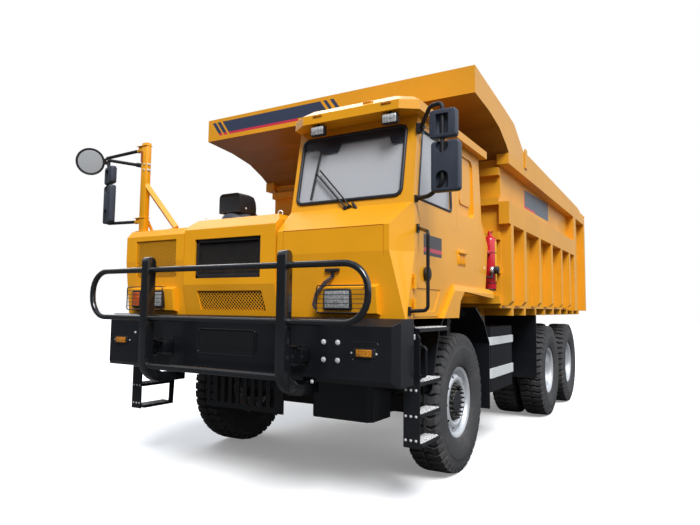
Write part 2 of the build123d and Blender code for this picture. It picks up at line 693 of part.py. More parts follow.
def side_box():
    side = front_profile(CAB_FOLD_Z, [(FRONT_Y, BOX_TOP_Z - 70), (FRONT_Y + 60, BOX_TOP_Z)],
                         [(500, BOX_TOP_Z), (590, ARCH_Z)])
    side += list(reversed(arch_profile()))
    body = side_plate(side, BOX_X)
    vent = block(BOX_VENT_X, (FRONT_Y - 10, FRONT_Y + VENT_DEPTH), BOX_VENT_Z)
    shape = joined(body - vent, pod(POD_LEFT_X))
    for span in HEADLAMP_SPANS[1:]:
        shape -= lamp_pocket(span)
    return shape


def cab_side_outline():
    """The cab's side from the front foot up over the roof line and down the back."""
    shoulder = [(FRONT_Y, COWL_Z - 200), (COWL_Y, COWL_Z), (CAB_HEAD_Y, CAB_TOP_Z)]
    rear = list(reversed(CAB_REAR)) + list(reversed(arch_profile()))
    return front_profile(CAB_FOLD_Z, shoulder, rear)


def cab_rear_y(z):
    """How far back the cab's rear wall is at a height."""
    for (y0, z0), (y1, z1) in zip(CAB_REAR, CAB_REAR[1:]):
        if z <= z1:
            return y0 + (y1 - y0) * (z - z0) / (z1 - z0)
    return CAB_REAR[-1][0]


def tumblehome_wedge():
    """What the upper side leans in by, from the belt line to the roof."""
    x1 = CAB_X[1]
    lean = TUMBLEHOME / (CAB_TOP_Z - BELT_LINE_Z)
    top = CAB_TOP_Z + 100
    return front_plate([(x1, BELT_LINE_Z), (x1 + 60, BELT_LINE_Z), (x1 + 60, top),
                        (x1 - lean * (top - BELT_LINE_Z), top)],
                       (FRONT_Y - 50, 700))


def door_outline(gap=0):
    g = gap
    return [(-1418 - g, DECK_Z + 15 - g), (-890 + g, DECK_Z + 15 - g), (-570 + g, 1860), (-420 + g, 2410),
            (-420 + g, 3200 + g), (-1215 - g, 3200 + g), (-1350 - g, 2490), (-1300 - g, 2370),
            (-1320 - g, 2100), (-1418 - g, 1890)]


def cab_shell():
    outer = make_face(Polyline(*cab_side_outline(), close=True))
    inner = offset(outer, amount=-CAB_WALL, kind=Kind.INTERSECTION)
    x0, x1 = CAB_X
    w = CAB_WALL
    body = extrude(Plane.YZ.offset(x0) * outer, amount=x1 - x0)
    room = extrude(Plane.YZ.offset(x0 + w) * inner, amount=x1 - x0 - 2 * w)
    plan_in = [(x0 + w, FRONT_Y), (x1 - CORNER_X - w / 2, FRONT_Y), (x1 - w, FRONT_Y + CORNER_Y + w / 2),
               (x1 - w, 640),
               (x0 + w, 640)]
    room = room & top_plate(plan_in, (DECK_Z, CAB_TOP_Z))
    top = block((x0 + 60, x1 - 70), (CAB_HEAD_Y + 65, CAB_REAR[-1][0] - 60), (CAB_TOP_Z - 70, CAB_TOP_Z))
    windscreen = block(WINDSCREEN[0], (COWL_Y - 80, CAB_HEAD_Y + 80), WINDSCREEN[1])
    left_window = block((x0 - 10, x0 + w + 10), *LEFT_WINDOW)
    rear_window = block(REAR_WINDOW[0], (CAB_REAR[-1][0] - 60, CAB_REAR[-1][0] + 140), REAR_WINDOW[1])
    door_hole = side_plate(door_outline(DOOR_GAP), (x1 - w - 5, x1 + 5))
    (a, b), (c, d) = BLANK_WINDOW
    blank = side_plate(cut_corners((a, b), (c, d), 50), (x1 - TUMBLEHOME - BLANK_DEPTH, x1 + 5))
    pane = side_plate(cut_corners((a + 70, b - 60), (c + 110, d - 100), 40),
                      (x1 - TUMBLEHOME - BLANK_DEPTH, x1 - TUMBLEHOME))
    lid = front_plate([(LID_X[0], LID_Z[0]), (LID_X[1], LID_Z[0]), (LID_X[1], LID_Z[1]),
                       (LID_X[0], LID_Z[1])],
                      (FRONT_Y - 5, FRONT_Y + 8))
    lid -= block((LID_X[0] + SEAM, LID_X[1] - SEAM), (FRONT_Y - 10, FRONT_Y + 60),
                 (LID_Z[0] + SEAM, LID_Z[1] - SEAM))
    # The bevelled corner, upright above the fold and narrowing below it to its foot
    run = CORNER_X / 4
    rise = CORNER_Y / 4
    corner = top_plate([(x1 - CORNER_X - run, FRONT_Y - rise), (x1 + run, FRONT_Y + CORNER_Y + rise),
                        (x1 + run, FRONT_Y - rise)],
                       (CAB_FOLD_Z, CAB_TOP_Z + 10))
    edge = Vector(x1 - CORNER_X, FRONT_Y, CAB_FOLD_Z)
    across = Vector(CORNER_X, CORNER_Y, 0)
    down = Vector(CORNER_X, CORNER_FOOT_Y - FRONT_Y, DECK_Z - CAB_FOLD_Z)
    low = Plane(origin=edge, z_dir=down.cross(across)) * Box(
        1500, 1500, 400, align=(Align.CENTER, Align.CENTER, Align.MIN))
    low = low & block((x1 - 400, x1 + 50), (FRONT_Y - 50, FRONT_Y + 400), (DECK_Z - 10, CAB_FOLD_Z))
    body = body - corner - low
    shell = body - room - top - windscreen - left_window - rear_window
    shell = shell - tumblehome_wedge() - door_hole - blank - lid
    shell = joined(shell, pane, pod(POD_RIGHT_X)) - lamp_pocket(HEADLAMP_SPANS[0])
    hx, hy = HINGE
    hinges = []
    for z in HINGE_HEIGHTS:
        for low, high in ((z - 3 * HINGE_LEAF, z - HINGE_LEAF - 2), (z + HINGE_LEAF + 2, z + 3 * HINGE_LEAF)):
            hinges.append(block((x1 - 10, hx), (hy - 10, hy - 6), (low, high)))
            hinges.append(rod((hx, hy, low), (hx, hy, high), HINGE_R, TUBE_SIDES))
        hinges.append(pin((hx, hy, z - 3 * HINGE_LEAF), (hx, hy, z + 3 * HINGE_LEAF), HINGE_PIN_R))
    return joined(shell, hinges)


def cab_door():
    x1 = CAB_X[1]
    panel = side_plate(door_outline(), (x1 - CAB_WALL, x1)) - tumblehome_wedge()
    window = side_plate(DOOR_WINDOW, (x1 - CAB_WALL - 5, x1 + 5))
    emboss = side_plate(DOOR_PANEL, (x1 - 8, x1 + 1))
    hx, hy = HINGE
    hinges = []
    for z in HINGE_HEIGHTS:
        barrel = rod((hx, hy, z - HINGE_LEAF - 1), (hx, hy, z + HINGE_LEAF + 1), HINGE_R, TUBE_SIDES)
        hinges += [barrel, block((x1, hx + 4), (hy + 4, hy + 60), (z - HINGE_LEAF, z + HINGE_LEAF))]
    pins = [pin((hx, hy, z - 50), (hx, hy, z + 50), HINGE_PIN_R + RUNNING_GAP) for z in HINGE_HEIGHTS]
    return joined(panel - window - emboss, hinges) - Compound(pins)


def door_window():
    pane = offset(make_face(Polyline(*DOOR_WINDOW, close=True)), amount=-SEAT_GAP, kind=Kind.INTERSECTION)
    return extrude(Plane.YZ.offset(CAB_X[1] - 34) * pane, amount=GLASS)


def cab_windows():
    """Windscreen, left window and rear window, each set in the middle of its wall's slope."""
    (x0, x1), (z0, z1) = WINDSCREEN
    z0, z1 = z0 + SEAT_GAP, z1 - SEAT_GAP
    y0, y1 = (COWL_Y + (z - COWL_Z) * (CAB_HEAD_Y - COWL_Y) / (CAB_TOP_Z - COWL_Z) + 15 for z in (z0, z1))
    front = side_plate([(y0, z0), (y0 + GLASS + 2, z0), (y1 + GLASS + 2, z1), (y1, z1)],
                       (x0 + SEAT_GAP, x1 - SEAT_GAP))
    (y0, y1), (z0, z1) = LEFT_WINDOW
    left = block((CAB_X[0] + 15, CAB_X[0] + 15 + GLASS), (y0 + SEAT_GAP, y1 - SEAT_GAP),
                 (z0 + SEAT_GAP, z1 - SEAT_GAP))
    (x0, x1), (z0, z1) = REAR_WINDOW
    z0, z1 = z0 + SEAT_GAP, z1 - SEAT_GAP
    y0, y1 = (cab_rear_y(z) - 15 for z in (z0, z1))
    rear = side_plate([(y0 - GLASS - 2, z0), (y0, z0), (y1, z1), (y1 - GLASS - 2, z1)],
                      (x0 + SEAT_GAP, x1 - SEAT_GAP))
    return apart(front, left, rear)


def cab_roof():
    x0, x1 = CAB_X[0] + 10, CAB_X[1] + 45
    front, back = CAB_HEAD_Y - 220, CAB_REAR[-1][0] + 80
    plan = [(x0, front + 110), (x0 + 160, front), (x1 - 145, front), (x1, front + 100), (x1, back),
            (x0, back)]
    top = [(x0 + 80, front + 200), (x0 + 220, front + 100), (x1 - 225, front + 100), (x1 - 95, front + 180),
           (x1 - 95, back - 90), (x0 + 80, back - 90)]
    lower = top_plate(plan, (CAB_TOP_Z, ROOF_EDGE_Z))
    upper = loft([Plane.XY.offset(ROOF_EDGE_Z) * make_face(Polyline(*plan, close=True)),
                  Plane.XY.offset(ROOF_Z) * make_face(Polyline(*top, close=True))], ruled=True)
    return joined(lower, upper)


def dashboard():
    desk = side_plate([(-1360, 2100), (-1360, 2480), (-1290, 2520), (-1130, 2380), (-1180, 2100)],
                      (CAB_X[0] + 50, CAB_X[1] - 80))
    leg = block((900, 1100), (-1340, -1230), (DECK_Z + CAB_WALL, 2100))
    column = rod((1000, -1150, 2350), (1000, -915, 2532), 30)
    ring = RegularPolygon(225, LUG_COUNT) - RegularPolygon(197, LUG_COUNT)
    spokes = Rectangle(410, 40) + RegularPolygon(50, TUBE_SIDES)
    wheel = Plane(origin=(1000, -920, 2528), z_dir=(0, 0.79, 0.61)) * joined(
        extrude(ring, amount=24), extrude(spokes, amount=18))
    return joined(desk, leg, column, wheel)


def driver_seat():
    base = block((820, 1180), (-140, 100), (ARCH_Z + CAB_WALL, 2080))
    cushion = block((770, 1230), (-440, 120), (2080, 2220))
    back = side_plate([(40, 2220), (170, 2220), (260, 2900), (150, 2900)], (780, 1220))
    return joined(base, cushion, back)


def headlamps():
    """The lamps in the pods, the bumper's turn lamps and the work lamps under the roof's front edge."""
    lamps = [lamp_pocket(span, SEAT_GAP) for span in HEADLAMP_SPANS]
    w, h, d = TURN_LAMP
    for x in (-1500, 1310):
        lamps.append(block((x, x + w), (BUMPER_FRONT_Y - d, BUMPER_FRONT_Y), (1255, 1255 + h)))
    for x in ROOF_LAMP_X:
        z1 = CAB_TOP_Z - SEAT_GAP
        body = front_plate(cut_corners((x - ROOF_LAMP_W / 2, x + ROOF_LAMP_W / 2),
                                       (z1 - 12 - ROOF_LAMP_H, z1 - 12), 15),
                           (ROOF_LAMP_Y, ROOF_LAMP_Y + 60))
        lamps.append(joined(body, block((x - 15, x + 15), (ROOF_LAMP_Y + 10, ROOF_LAMP_Y + 50),
                                        (z1 - 20, z1))))
    return apart(lamps)


def tail_lamps():
    y = FRAME_REAR_Y + 30 + SEAT_GAP
    return apart(both(front_plate(cut_corners(TAIL_LAMP_X, (TAIL_BAR_Z[0] - 10, TAIL_BAR_Z[1] + 40), 15),
                                  (y, y + 45))))


def mirror_head(x, z, face_y):
    """A mirror housing: full at its rear face, drawn in towards the front."""
    (x0, x1), (z0, z1) = x, z
    sections = []
    # Sections: how far forward of the glass, and how much is drawn in
    for forward, draw in ((0, 8), (25, 0), (70, 22)):
        outline = cut_corners((x0 + draw, x1 - draw), (z0 + draw, z1 - draw), 26)
        sections.append(Plane.XZ.offset(forward - face_y) * make_face(Polyline(*outline, close=True)))
    return loft(sections, ruled=True)


def mirrors():
    y, r = MIRROR_Y, MIRROR_TUBE_R
    px0, px1 = MIRROR_POST_X
    depth = MIRROR_POST_D / 2
    post = block(MIRROR_POST_X, (y - depth, y + depth), (BOX_TOP_Z, MIRROR_POST_TOP_Z))
    brace = rod((px1 - 20, y, 2930), (-1040, y + 20, BOX_TOP_Z + 40), 36, 4)
    foot = block((-1090, -990), (y - 30, y + 70), (BOX_TOP_Z, BOX_TOP_Z + 30))
    bar_x = LEFT_BAR_X
    face_y = y + 40
    arms = [rod((px0 + 40, y, 3330), (bar_x + 10, y, DISC_Z), r, TUBE_SIDES),
            rod((px0 + 40, y, 3150), (bar_x, y, DISC_Z - 30), r, TUBE_SIDES),
            pipe([(bar_x, y, DISC_Z + 10), (bar_x, y, 2560), (px0 + 10, y, 2530)], r, 60),
            rod((bar_x + 10, y, DISC_Z), (DISC_X, y, DISC_Z), r - 2, TUBE_SIDES)]
    facing = Plane(origin=(DISC_X, y, DISC_Z), z_dir=DISC_FACING)
    disc = facing * Pos(0, 0, DISC_T / 2) * extrude(RegularPolygon(DISC_R, 24), amount=-DISC_T)
    left = joined(post, brace, foot, arms, disc, mirror_head((bar_x - 50, bar_x + 180), (3000, 3200), face_y),
                  mirror_head((bar_x - 50, bar_x + 190), (2550, 2985), face_y))
    x1 = CAB_X[1]
    arm_x = RIGHT_REACH - 150
    # Pads on the leaning pillar ahead of the door: y, z, half width, half height
    spots = [(y + 195, 3140, 30, 40), (y + 118, 2530, 22, 28)]
    slope = TUMBLEHOME / (CAB_TOP_Z - BELT_LINE_Z)
    pads = []
    for a, z, wide, tall in spots:
        face = x1 - slope * (z - tall - BELT_LINE_Z) + SEAT_GAP
        pads.append(block((face, x1 + 30), (a - wide, a + wide), (z - tall, z + tall)))
    (upper_y, upper_z), (lower_y, lower_z) = spots[0][:2], spots[1][:2]
    arm = pipe([(x1 + 12, upper_y, upper_z), (x1 + 170, y + 20, 3250), (arm_x, y, 3250), (arm_x, y, 2610),
                (x1 + 150, y + 60, 2530), (x1 + 12, lower_y, lower_z)], r, 40)
    right = joined(pads, arm, mirror_head((arm_x - 105, arm_x + 125), (2960, 3195), face_y),
                   mirror_head((arm_x - 90, RIGHT_REACH), (2535, 2940), face_y))
    return apart(left, right)


def boarding_steps():
    """Steps hung below each side of the cab, the plate between steps and tyre, and the hand rails."""
    x0, x1 = STEP_X
    y0 = STEP_FRONT_Y
    top = DECK_Z - SEAT_GAP
    # Treads: z of the top, y of the front, y of the rear
    rows = [(1475, y0, -800), (1050, y0, -960), (800, -1400, -990), (570, -1380, -1010)]
    treads = [block(STEP_X, (a, b), (z - STEP_T, z)) for z, a, b in rows]
    front = front_plate([(x0 + 5, top), (1600, top), (x1, 1400), (x1, 540), (x0 + 5, 540)],
                        (y0, y0 + STEP_PLATE))
    hanger = side_plate([(-1030, 1040), (-960, 1040), (-985, 540), (-1045, 540)], (x0, x0 + STEP_PLATE))
    guard = side_plate([(-700, top), (-680, top), (-790, 1446), (-955, 936), (-1025, 900), (-1030, 910),
                        (-970, 945), (-806, 1446)], (KINGPIN_X + 60, x0 + 60))
    out, back = x1 + 45, y0 + 20
    rail = pipe([(x1 - 6, back, 1338), (out, back, 1325), (out, back, 1105), (x1 - 6, back, 1092)], 13, 30, 6)
    tabs = [block((x1 - 20, x1), (y0 + STEP_PLATE, y0 + 40), (z - 20, z + 20)) for z in (1338, 1092)]
    return apart(both(joined(front, hanger, treads, guard, tabs, rail)), grab_rail())


def grab_rail():
    """The hand rail ahead of the door, bent out far enough to clear the door's swing."""
    x1 = CAB_X[1]
    # Feet on the cab's side: y and z
    (a, z1), (b, z0) = (-1345, 2290), (-1505, 1610)
    pads = [block((x1 + SEAT_GAP, x1 + 14), (y - 20, y + 20), (z - 35, z + 35))
            for y, z in ((a, z1), (b, z0))]
    path = [(x1 + 16, a, z1), (RAIL_AT[0], RAIL_AT[1], 2235), (RAIL_AT[0], RAIL_AT[1], 1620),
            (x1 + 16, b, z0)]
    return joined(pipe(path, RAIL_R, 40), pads)


def fenders():
    """The faceted flares on the cab and the side box over the front wheels."""
    x = CAB_X[1]
    flare = [(-865, DECK_Z), (-535, 1858), (645, 1850), (645, 1752), (-317, 1800), (-439, 1704),
             (-481, DECK_Z)]
    band = side_plate(flare, (x, x + FLARE))
    # The upper edge is bevelled
    edge = front_plate([(x + FLARE + 1, 1800), (x + 15, 1859), (x + FLARE + 1, 1859)], (-700, 650))
    return apart(both(band - edge))


def mudguards():
    """The black plates behind the front wheels and ahead of the driven ones."""
    outer = [(330, 1640), (335, 1655), (620, 1500), (815, 1255), (815, 520), (800, 520), (800, 1250),
             (608, 1488)]
    guards = both(joined(side_plate(outer, (KINGPIN_X + 50, CAB_X[1] - 60)),
                         rod((RAIL_OUT, 808, 1200), (1300, 808, 1200), 25)))
    splash = both(joined(block((RAIL_OUT, 1600), (2950, 2965), (1000, 1430)),
                         block((840, 1600), (2950, 2965), (650, CROSS_Z))))
    return apart(guards, splash)


def tanks():
    tank = top_plate(cut_corners(TANK_X, TANK_Y, TANK_CHAMFER), TANK_Z)
    x, y = (TANK_X[0] + 300, TANK_X[1] + STRAP_PROUD), (TANK_Y[0] - STRAP_PROUD, TANK_Y[1] + STRAP_PROUD)
    straps = [top_plate(cut_corners(x, y, TANK_CHAMFER + 8), z) for z in ((840, 950), (1220, 1310))]
    cap = rod((1250, 1250, TANK_Z[1]), (1250, 1250, TANK_Z[1] + 45), 60)
    return apart(both(joined(tank, straps, cap)))


def air_intake():
    """The intake on the hood: a round bowl with a hooded mouth and the duct back to the engine."""
    x, y = -500, -1140
    z = HOOD_TOP_Z
    bowl = rod((x, y, z + SEAT_GAP), (x, y, z + 115), 185, LUG_COUNT)
    mouth = front_plate([(x - 142, z + 100), (x - 142, z + 240), (x - 90, z + 305), (x + 90, z + 305),
                         (x + 142, z + 240),
                         (x + 142, z + 100)], (y - 140, y + 120))
    duct = rod((x, y, z + 75), (x + 240, y + 620, z + 60), 60)
    return joined(bowl, mouth, duct)


def fire_extinguisher():
    x, y, radius = 1595, 735, 72
    body = rod((x, y, 1860), (x, y, 2460), radius, LUG_COUNT)
    neck = rod((x, y, 2460), (x, y, 2520), 22, TUBE_SIDES)
    z0, z1 = 2250, 2290
    clip = side_plate([(cab_rear_y(z0) + SEAT_GAP, z0), (y - 30, z0), (y - 30, z1),
                       (cab_rear_y(z1) + SEAT_GAP, z1)],
                      (x - 40, x + 20))
    return joined(body, neck, clip)


# Dump body

def dump_body():
    y0, y1 = BODY_FRONT_Y, BODY_REAR_Y
    edge = y0 - BEAM_DEPTH
    floor = block((-WALL_X, WALL_X), (y0, y1), FLOOR_Z)
    walls = both(block((WALL_X - WALL, WALL_X), (y0, y1), (FLOOR_Z[0], TOP_RAIL_Z[0])))
    rails = both(block((WALL_X - WALL, BODY_HALF), (edge, y1), TOP_RAIL_Z))
    belts = both(block((WALL_X, BODY_HALF), (edge, BELT_REAR_Y), BELT_Z))
    ribs = []
    foot = [(WALL_X, RIB_Z - 20), (BODY_HALF - 45, RIB_Z - 20), (BODY_HALF, RIB_Z + 30),
            (BODY_HALF, BELT_Z[0]), (WALL_X, BELT_Z[0])]
    for y in (960, 1570, 2400, 3210, 3980, 4700):
        ribs += both(front_plate(foot, (y, y + RIB_W)))
    for a, b in ((5210, BELT_REAR_Y), (y1 - RIB_DEPTH, y1)):
        ribs += both(block((WALL_X, BODY_HALF), (a, b), (FLOOR_Z[0] - 20, TOP_RAIL_Z[0])))
    front = block((-WALL_X, WALL_X), (y0, y0 + WALL), (FLOOR_Z[0], TOP_RAIL_Z[1] - 45))
    beams = [block((-WALL_X, WALL_X), (edge, y0), (z, z + BEAM_H)) for z in (1700, 2050, 2440, 2850, 3200)]
    # The recess in the front wall that clears the leaning hoist cylinder: its skin, then its room
    run = WELL_Y / (WELL_TOP_Z - FLOOR_Z[0])
    skin = side_plate([(y0 + 1, WELL_TOP_Z + (WALL - 1) / run), (y0 + WELL_Y + WALL, FLOOR_Z[0]),
                       (y0 + 1, FLOOR_Z[0])],
                      (-WELL_X - WALL, WELL_X + WALL))
    low = FLOOR_Z[0] - 60
    room = side_plate([(y0 - 100, WELL_TOP_Z), (y0, WELL_TOP_Z), (y0 + WELL_Y + 60 * run, low),
                       (y0 - 100, low)],
                      (-WELL_X, WELL_X))
    sills = both(block((RAIL_IN, RAIL_OUT), (CROSS_START_Y - 50, PIVOT_Y - 120),
                       (RAIL_Z[1] + SEAT_GAP, FLOOR_Z[0])))
    side_sills = both(block((1240, 1320), (y0 + 250, y1 - 180), (CROSS_Z, FLOOR_Z[0])))
    cross = [block((-WALL_X, WALL_X), (y, y + CROSS_W), (CROSS_Z, FLOOR_Z[0]))
             for y in range(CROSS_START_Y, int(y1) - 80, CROSS_PITCH)]
    lug_x = RAIL_OUT + LUG_GAP
    lug = side_plate([(PIVOT_Y - 90, FLOOR_Z[0]), (PIVOT_Y + 90, FLOOR_Z[0]), (PIVOT_Y + 70, PIVOT_Z - 70),
                      (PIVOT_Y - 70, PIVOT_Z - 70)], (lug_x, lug_x + PIVOT_LUG_T))
    lug -= pin((RAIL_OUT, PIVOT_Y, PIVOT_Z), (lug_x + PIVOT_LUG_T + 5, PIVOT_Y, PIVOT_Z),
               PIVOT_R + RUNNING_GAP)
    eye = HOIST_EYE_R
    brackets = both(side_plate([(HOIST_Y - eye, HOIST_EYE_Z - eye), (HOIST_Y - eye, HOIST_EYE_Z + eye),
                                (y0, HOIST_EYE_Z + 130), (y0, HOIST_EYE_Z - 130)], (eye - 14, eye + 16)))
    eye_holes = pin((-90, HOIST_Y, HOIST_EYE_Z), (90, HOIST_Y, HOIST_EYE_Z), HOIST_PIN_R + 1)
    rail_z = TOP_RAIL_Z[1]
    boards = both(side_plate([(CHEEK_REAR_Y + 5, rail_z), (CHEEK_REAR_Y + 5, rail_z + BOARD_RISE),
                              (y1 - 780, rail_z + BOARD_RISE - 80), (y1 - 30, rail_z)],
                             (BODY_HALF - WALL, BODY_HALF)))
    pockets = both(block((BODY_HALF, BODY_HALF + 16), (CHEEK_REAR_Y - 75, CHEEK_REAR_Y + 25),
                         (rail_z - 20, rail_z + 225)))
    gy, gz = GATE_HINGE
    ear_x = BODY_HALF - EAR_OUT
    ears = both(side_plate([(y1 - 100, TOP_RAIL_Z[0]), (y1 - 100, gz + 45), (gy + 45, gz + 45),
                            (gy + 45, gz - 60),
                            (y1, TOP_RAIL_Z[0] + 20)], (ear_x - GATE_EAR_T, ear_x)))
    ear_holes = both(pin((ear_x - GATE_EAR_T - 15, gy, gz), (ear_x + 15, gy, gz), GATE_PIN_R + RUNNING_GAP))
    shape = joined(floor, walls, rails, belts, ribs, front, beams, skin) - room
    shape = joined(shape, sills, side_sills, cross, both(lug), brackets, boards, pockets, ears)
    return shape - eye_holes - Compound(ear_holes)


def canopy():
    """The sheet over the cab, folded in four, with its front lip, side cheeks and gussets."""
    rail_z = TOP_RAIL_Z[1]
    rest = rail_z - 45 + SEAT_GAP
    z0 = CANOPY_Z[0]
    y0 = BODY_FRONT_Y
    folds = [(CANOPY_Y, z0), (150, z0 - 44), (510, z0 - 116), (780, z0 - 236)]
    upper = [(y + 6, z + 23) for y, z in reversed(folds)]
    sheet = side_plate(folds + [(y0 + 5, rest), (y0 + 25, rest), (y0 + 35, rest + 25)] + upper,
                       (WALL - BODY_HALF, BODY_HALF - WALL))
    rail_x = WALL_X - WALL - SEAT_GAP
    sheet -= Compound(both(block((rail_x, BODY_HALF), (y0 - 100, y0 + 150),
                                 (TOP_RAIL_Z[0] - 20, rail_z + SEAT_GAP))))
    lip = block((-BODY_HALF, BODY_HALF), (CANOPY_Y, CANOPY_Y + WALL), CANOPY_Z)
    cheek = folds + [(y0 - 50, rail_z + SEAT_GAP), (CHEEK_REAR_Y, rail_z + SEAT_GAP),
                     (CHEEK_REAR_Y, z0 - 156),
                     (1540, z0 - 106), (1150, z0 + 104), (790, z0 + 154), (CANOPY_Y, CANOPY_Z[1])]
    cheeks = both(side_plate(cheek, (BODY_HALF - WALL, BODY_HALF)))
    wall_y = y0 - BEAM_DEPTH - SEAT_GAP
    gusset = [(150, z0 - 44), (510, z0 - 116), (780, z0 - 236), (wall_y, z0 - 316), (wall_y, 3080)]
    gussets = both(side_plate(gusset, (GUSSET_X, GUSSET_X + WALL)))
    return joined(sheet, lip, cheeks, gussets)


def tailgate():
    gy, gz = GATE_HINGE
    y0 = BODY_REAR_Y + 10
    side = WALL_X - GATE_SIDE
    z0, z1 = FLOOR_Z[0] + 10, TOP_RAIL_Z[1] - 5
    panel = block((-side, side), (y0, y0 + WALL), (z0, z1))
    outer = (y0 + WALL, y0 + WALL + 60)
    frame = [block((-side, side), outer, (z, z + RIB_W)) for z in (z0, 2200, 2760, z1 - RIB_W)]
    frame += [block((x, x + 100), outer, (z0, z1)) for x in (-side, -600, 500, side - 100)]
    arms = both(side_plate([(y0, z1 - 140), (y0 + 80, z1 - 140), (gy + 45, gz), (gy + 35, gz + 40),
                            (gy - 25, gz + 40),
                            (y0 - 5, gz)], (side - 40, side)))
    pins = both(pin((side - 30, gy, gz), (BODY_HALF - 5, gy, gz), GATE_PIN_R))
    return joined(panel, frame, arms, pins)


# Hoist cylinder

def hoist_tube(index):
    """One tube of the cylinder, index 0 the barrel; each stands a little above the last."""
    low = HOIST_FOOT_Z + HOIST_EYE_R + 20 * index
    high = HOIST_FOOT_Z + HOIST_EYE_R + HOIST_LENGTH + STAGE_RISE * index
    tube = rod((0, HOIST_Y, low), (0, HOIST_Y, high), STAGE_R[index], STAGE_SIDES)
    if index < len(STAGE_R) - 1:
        bore = STAGE_R[index + 1] + STAGE_GAP
        tube -= rod((0, HOIST_Y, low + 20 - STAGE_GAP), (0, HOIST_Y, high + 1), bore, STAGE_SIDES)
    return tube


def hoist_barrel():
    r, z = HOIST_EYE_R, HOIST_FOOT_Z
    foot = pin((-r, HOIST_Y, z), (r, HOIST_Y, z), r)
    neck = block((-r, r), (HOIST_Y - 50, HOIST_Y + 50), (z, z + r + 5))
    hole = pin((-r - 10, HOIST_Y, z), (r + 10, HOIST_Y, z), HOIST_PIN_R + RUNNING_GAP)
    return joined(hoist_tube(0), foot, neck) - hole


def hoist_rod():
    top = HOIST_EYE_Z
    neck = rod((0, HOIST_Y, top - 300), (0, HOIST_Y, top), HOIST_PIN_R)
    eye = pin((22 - HOIST_EYE_R, HOIST_Y, top), (HOIST_EYE_R - 22, HOIST_Y, top), HOIST_EYE_R)
    return joined(hoist_tube(3), neck, eye)


# Every piece by name

def pieces():
    named = {
        "chassis_frame": chassis_frame, "cross_members": cross_members, "engine": engine,
        "driveline": driveline, "axles": axles, "springs": springs, "front_bumper": front_bumper, "bull_bar": bull_bar,
        "underbody_guards": underbody_guards, "hood": hood, "grille": grille, "side_box": side_box,
        "cab_shell": cab_shell, "cab_door": cab_door, "door_window": door_window,
        "cab_windows": cab_windows, "cab_roof": cab_roof, "dashboard": dashboard,
        "driver_seat": driver_seat, "headlamps": headlamps, "tail_lamps": tail_lamps, "mirrors": mirrors,
        "boarding_steps": boarding_steps, "fenders": fenders, "mudguards": mudguards, "tanks": tanks,
        "air_intake": air_intake, "fire_extinguisher": fire_extinguisher, "dump_body": dump_body,
        "canopy": canopy,
        "tailgate": tailgate, "hoist_barrel": hoist_barrel, "hoist_rod": hoist_rod, "tie_rod": tie_rod,
    }
    for name, make in named.items():
        yield name, make()
    for index in (1, 2):
        yield f"hoist_stage_{index}", hoist_tube(index)
    left_knuckle, left_rim, left_twins, wheel = knuckle(), front_rim(), twin_rim(), tyre()
    for word, side in (("left", 1), ("right", -1)):
        def turned(shape):
            return shape if side > 0 else mirror(shape, about=Plane.YZ)
        yield f"knuckle_{word}", turned(left_knuckle)
        hub = Pos(side * FRONT_WHEEL_X, 0, TYRE_R)
        yield f"front_tyre_{word}", hub * wheel
        yield f"front_rim_{word}", hub * turned(left_rim)
        for axle, y in (("middle", AXLE_2_Y), ("rear", AXLE_3_Y)):
            twins = [Pos(side * x, y, TYRE_R) * wheel for x in (TWIN_INNER_X, TWIN_OUTER_X)]
            yield f"{axle}_tyres_{word}", apart(twins)
            yield f"{axle}_rims_{word}", Pos(side * TWIN_X, y, TYRE_R) * turned(left_twins)


os.makedirs("parts", exist_ok=True)
for name, shape in pieces():
    export_step(ORIGIN * shape, f"parts/{name}.step")
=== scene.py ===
"""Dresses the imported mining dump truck: tyres, rims, guards, mirrors, lamps, seat, trim and finishes.

Shapes are drawn in the truck's own measuring frame, in metres: x across from the centreline (+ is
the cab side), y back from the front axle, z up from the ground. The truck faces -y."""

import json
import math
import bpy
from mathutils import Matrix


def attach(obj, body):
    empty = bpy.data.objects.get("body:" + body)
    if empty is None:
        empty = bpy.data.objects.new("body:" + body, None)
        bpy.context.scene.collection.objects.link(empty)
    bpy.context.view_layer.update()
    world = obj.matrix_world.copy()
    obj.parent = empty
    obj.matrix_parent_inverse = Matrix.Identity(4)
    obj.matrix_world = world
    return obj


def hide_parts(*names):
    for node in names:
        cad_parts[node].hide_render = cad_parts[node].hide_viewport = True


bl_info = {
    "name": "Mining dump truck",
    "version": (1, 0, 0),
    "blender": (4, 5, 0),
    "location": "3D View > Sidebar > Truck",
    "description": "Dresses the packed truck with its detailed pieces, finishes, lights and camera",
    "category": "Object",
}

import bmesh
import bpy
from bpy.props import FloatProperty, FloatVectorProperty, IntProperty, PointerProperty
from mathutils import Matrix, Vector

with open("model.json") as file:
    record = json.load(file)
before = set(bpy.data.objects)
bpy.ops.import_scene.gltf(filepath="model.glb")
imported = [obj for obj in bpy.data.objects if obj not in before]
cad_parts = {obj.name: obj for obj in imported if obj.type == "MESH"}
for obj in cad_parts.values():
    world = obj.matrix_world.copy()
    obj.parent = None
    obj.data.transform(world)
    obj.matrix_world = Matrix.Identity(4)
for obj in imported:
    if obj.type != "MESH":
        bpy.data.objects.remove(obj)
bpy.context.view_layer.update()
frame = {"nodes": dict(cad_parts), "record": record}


def joint_place(name):
    """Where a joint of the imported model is."""
    return next(Vector(joint["pos_m"]) for joint in frame["record"]["behaviour"]["joints"] if joint["name"] == name)


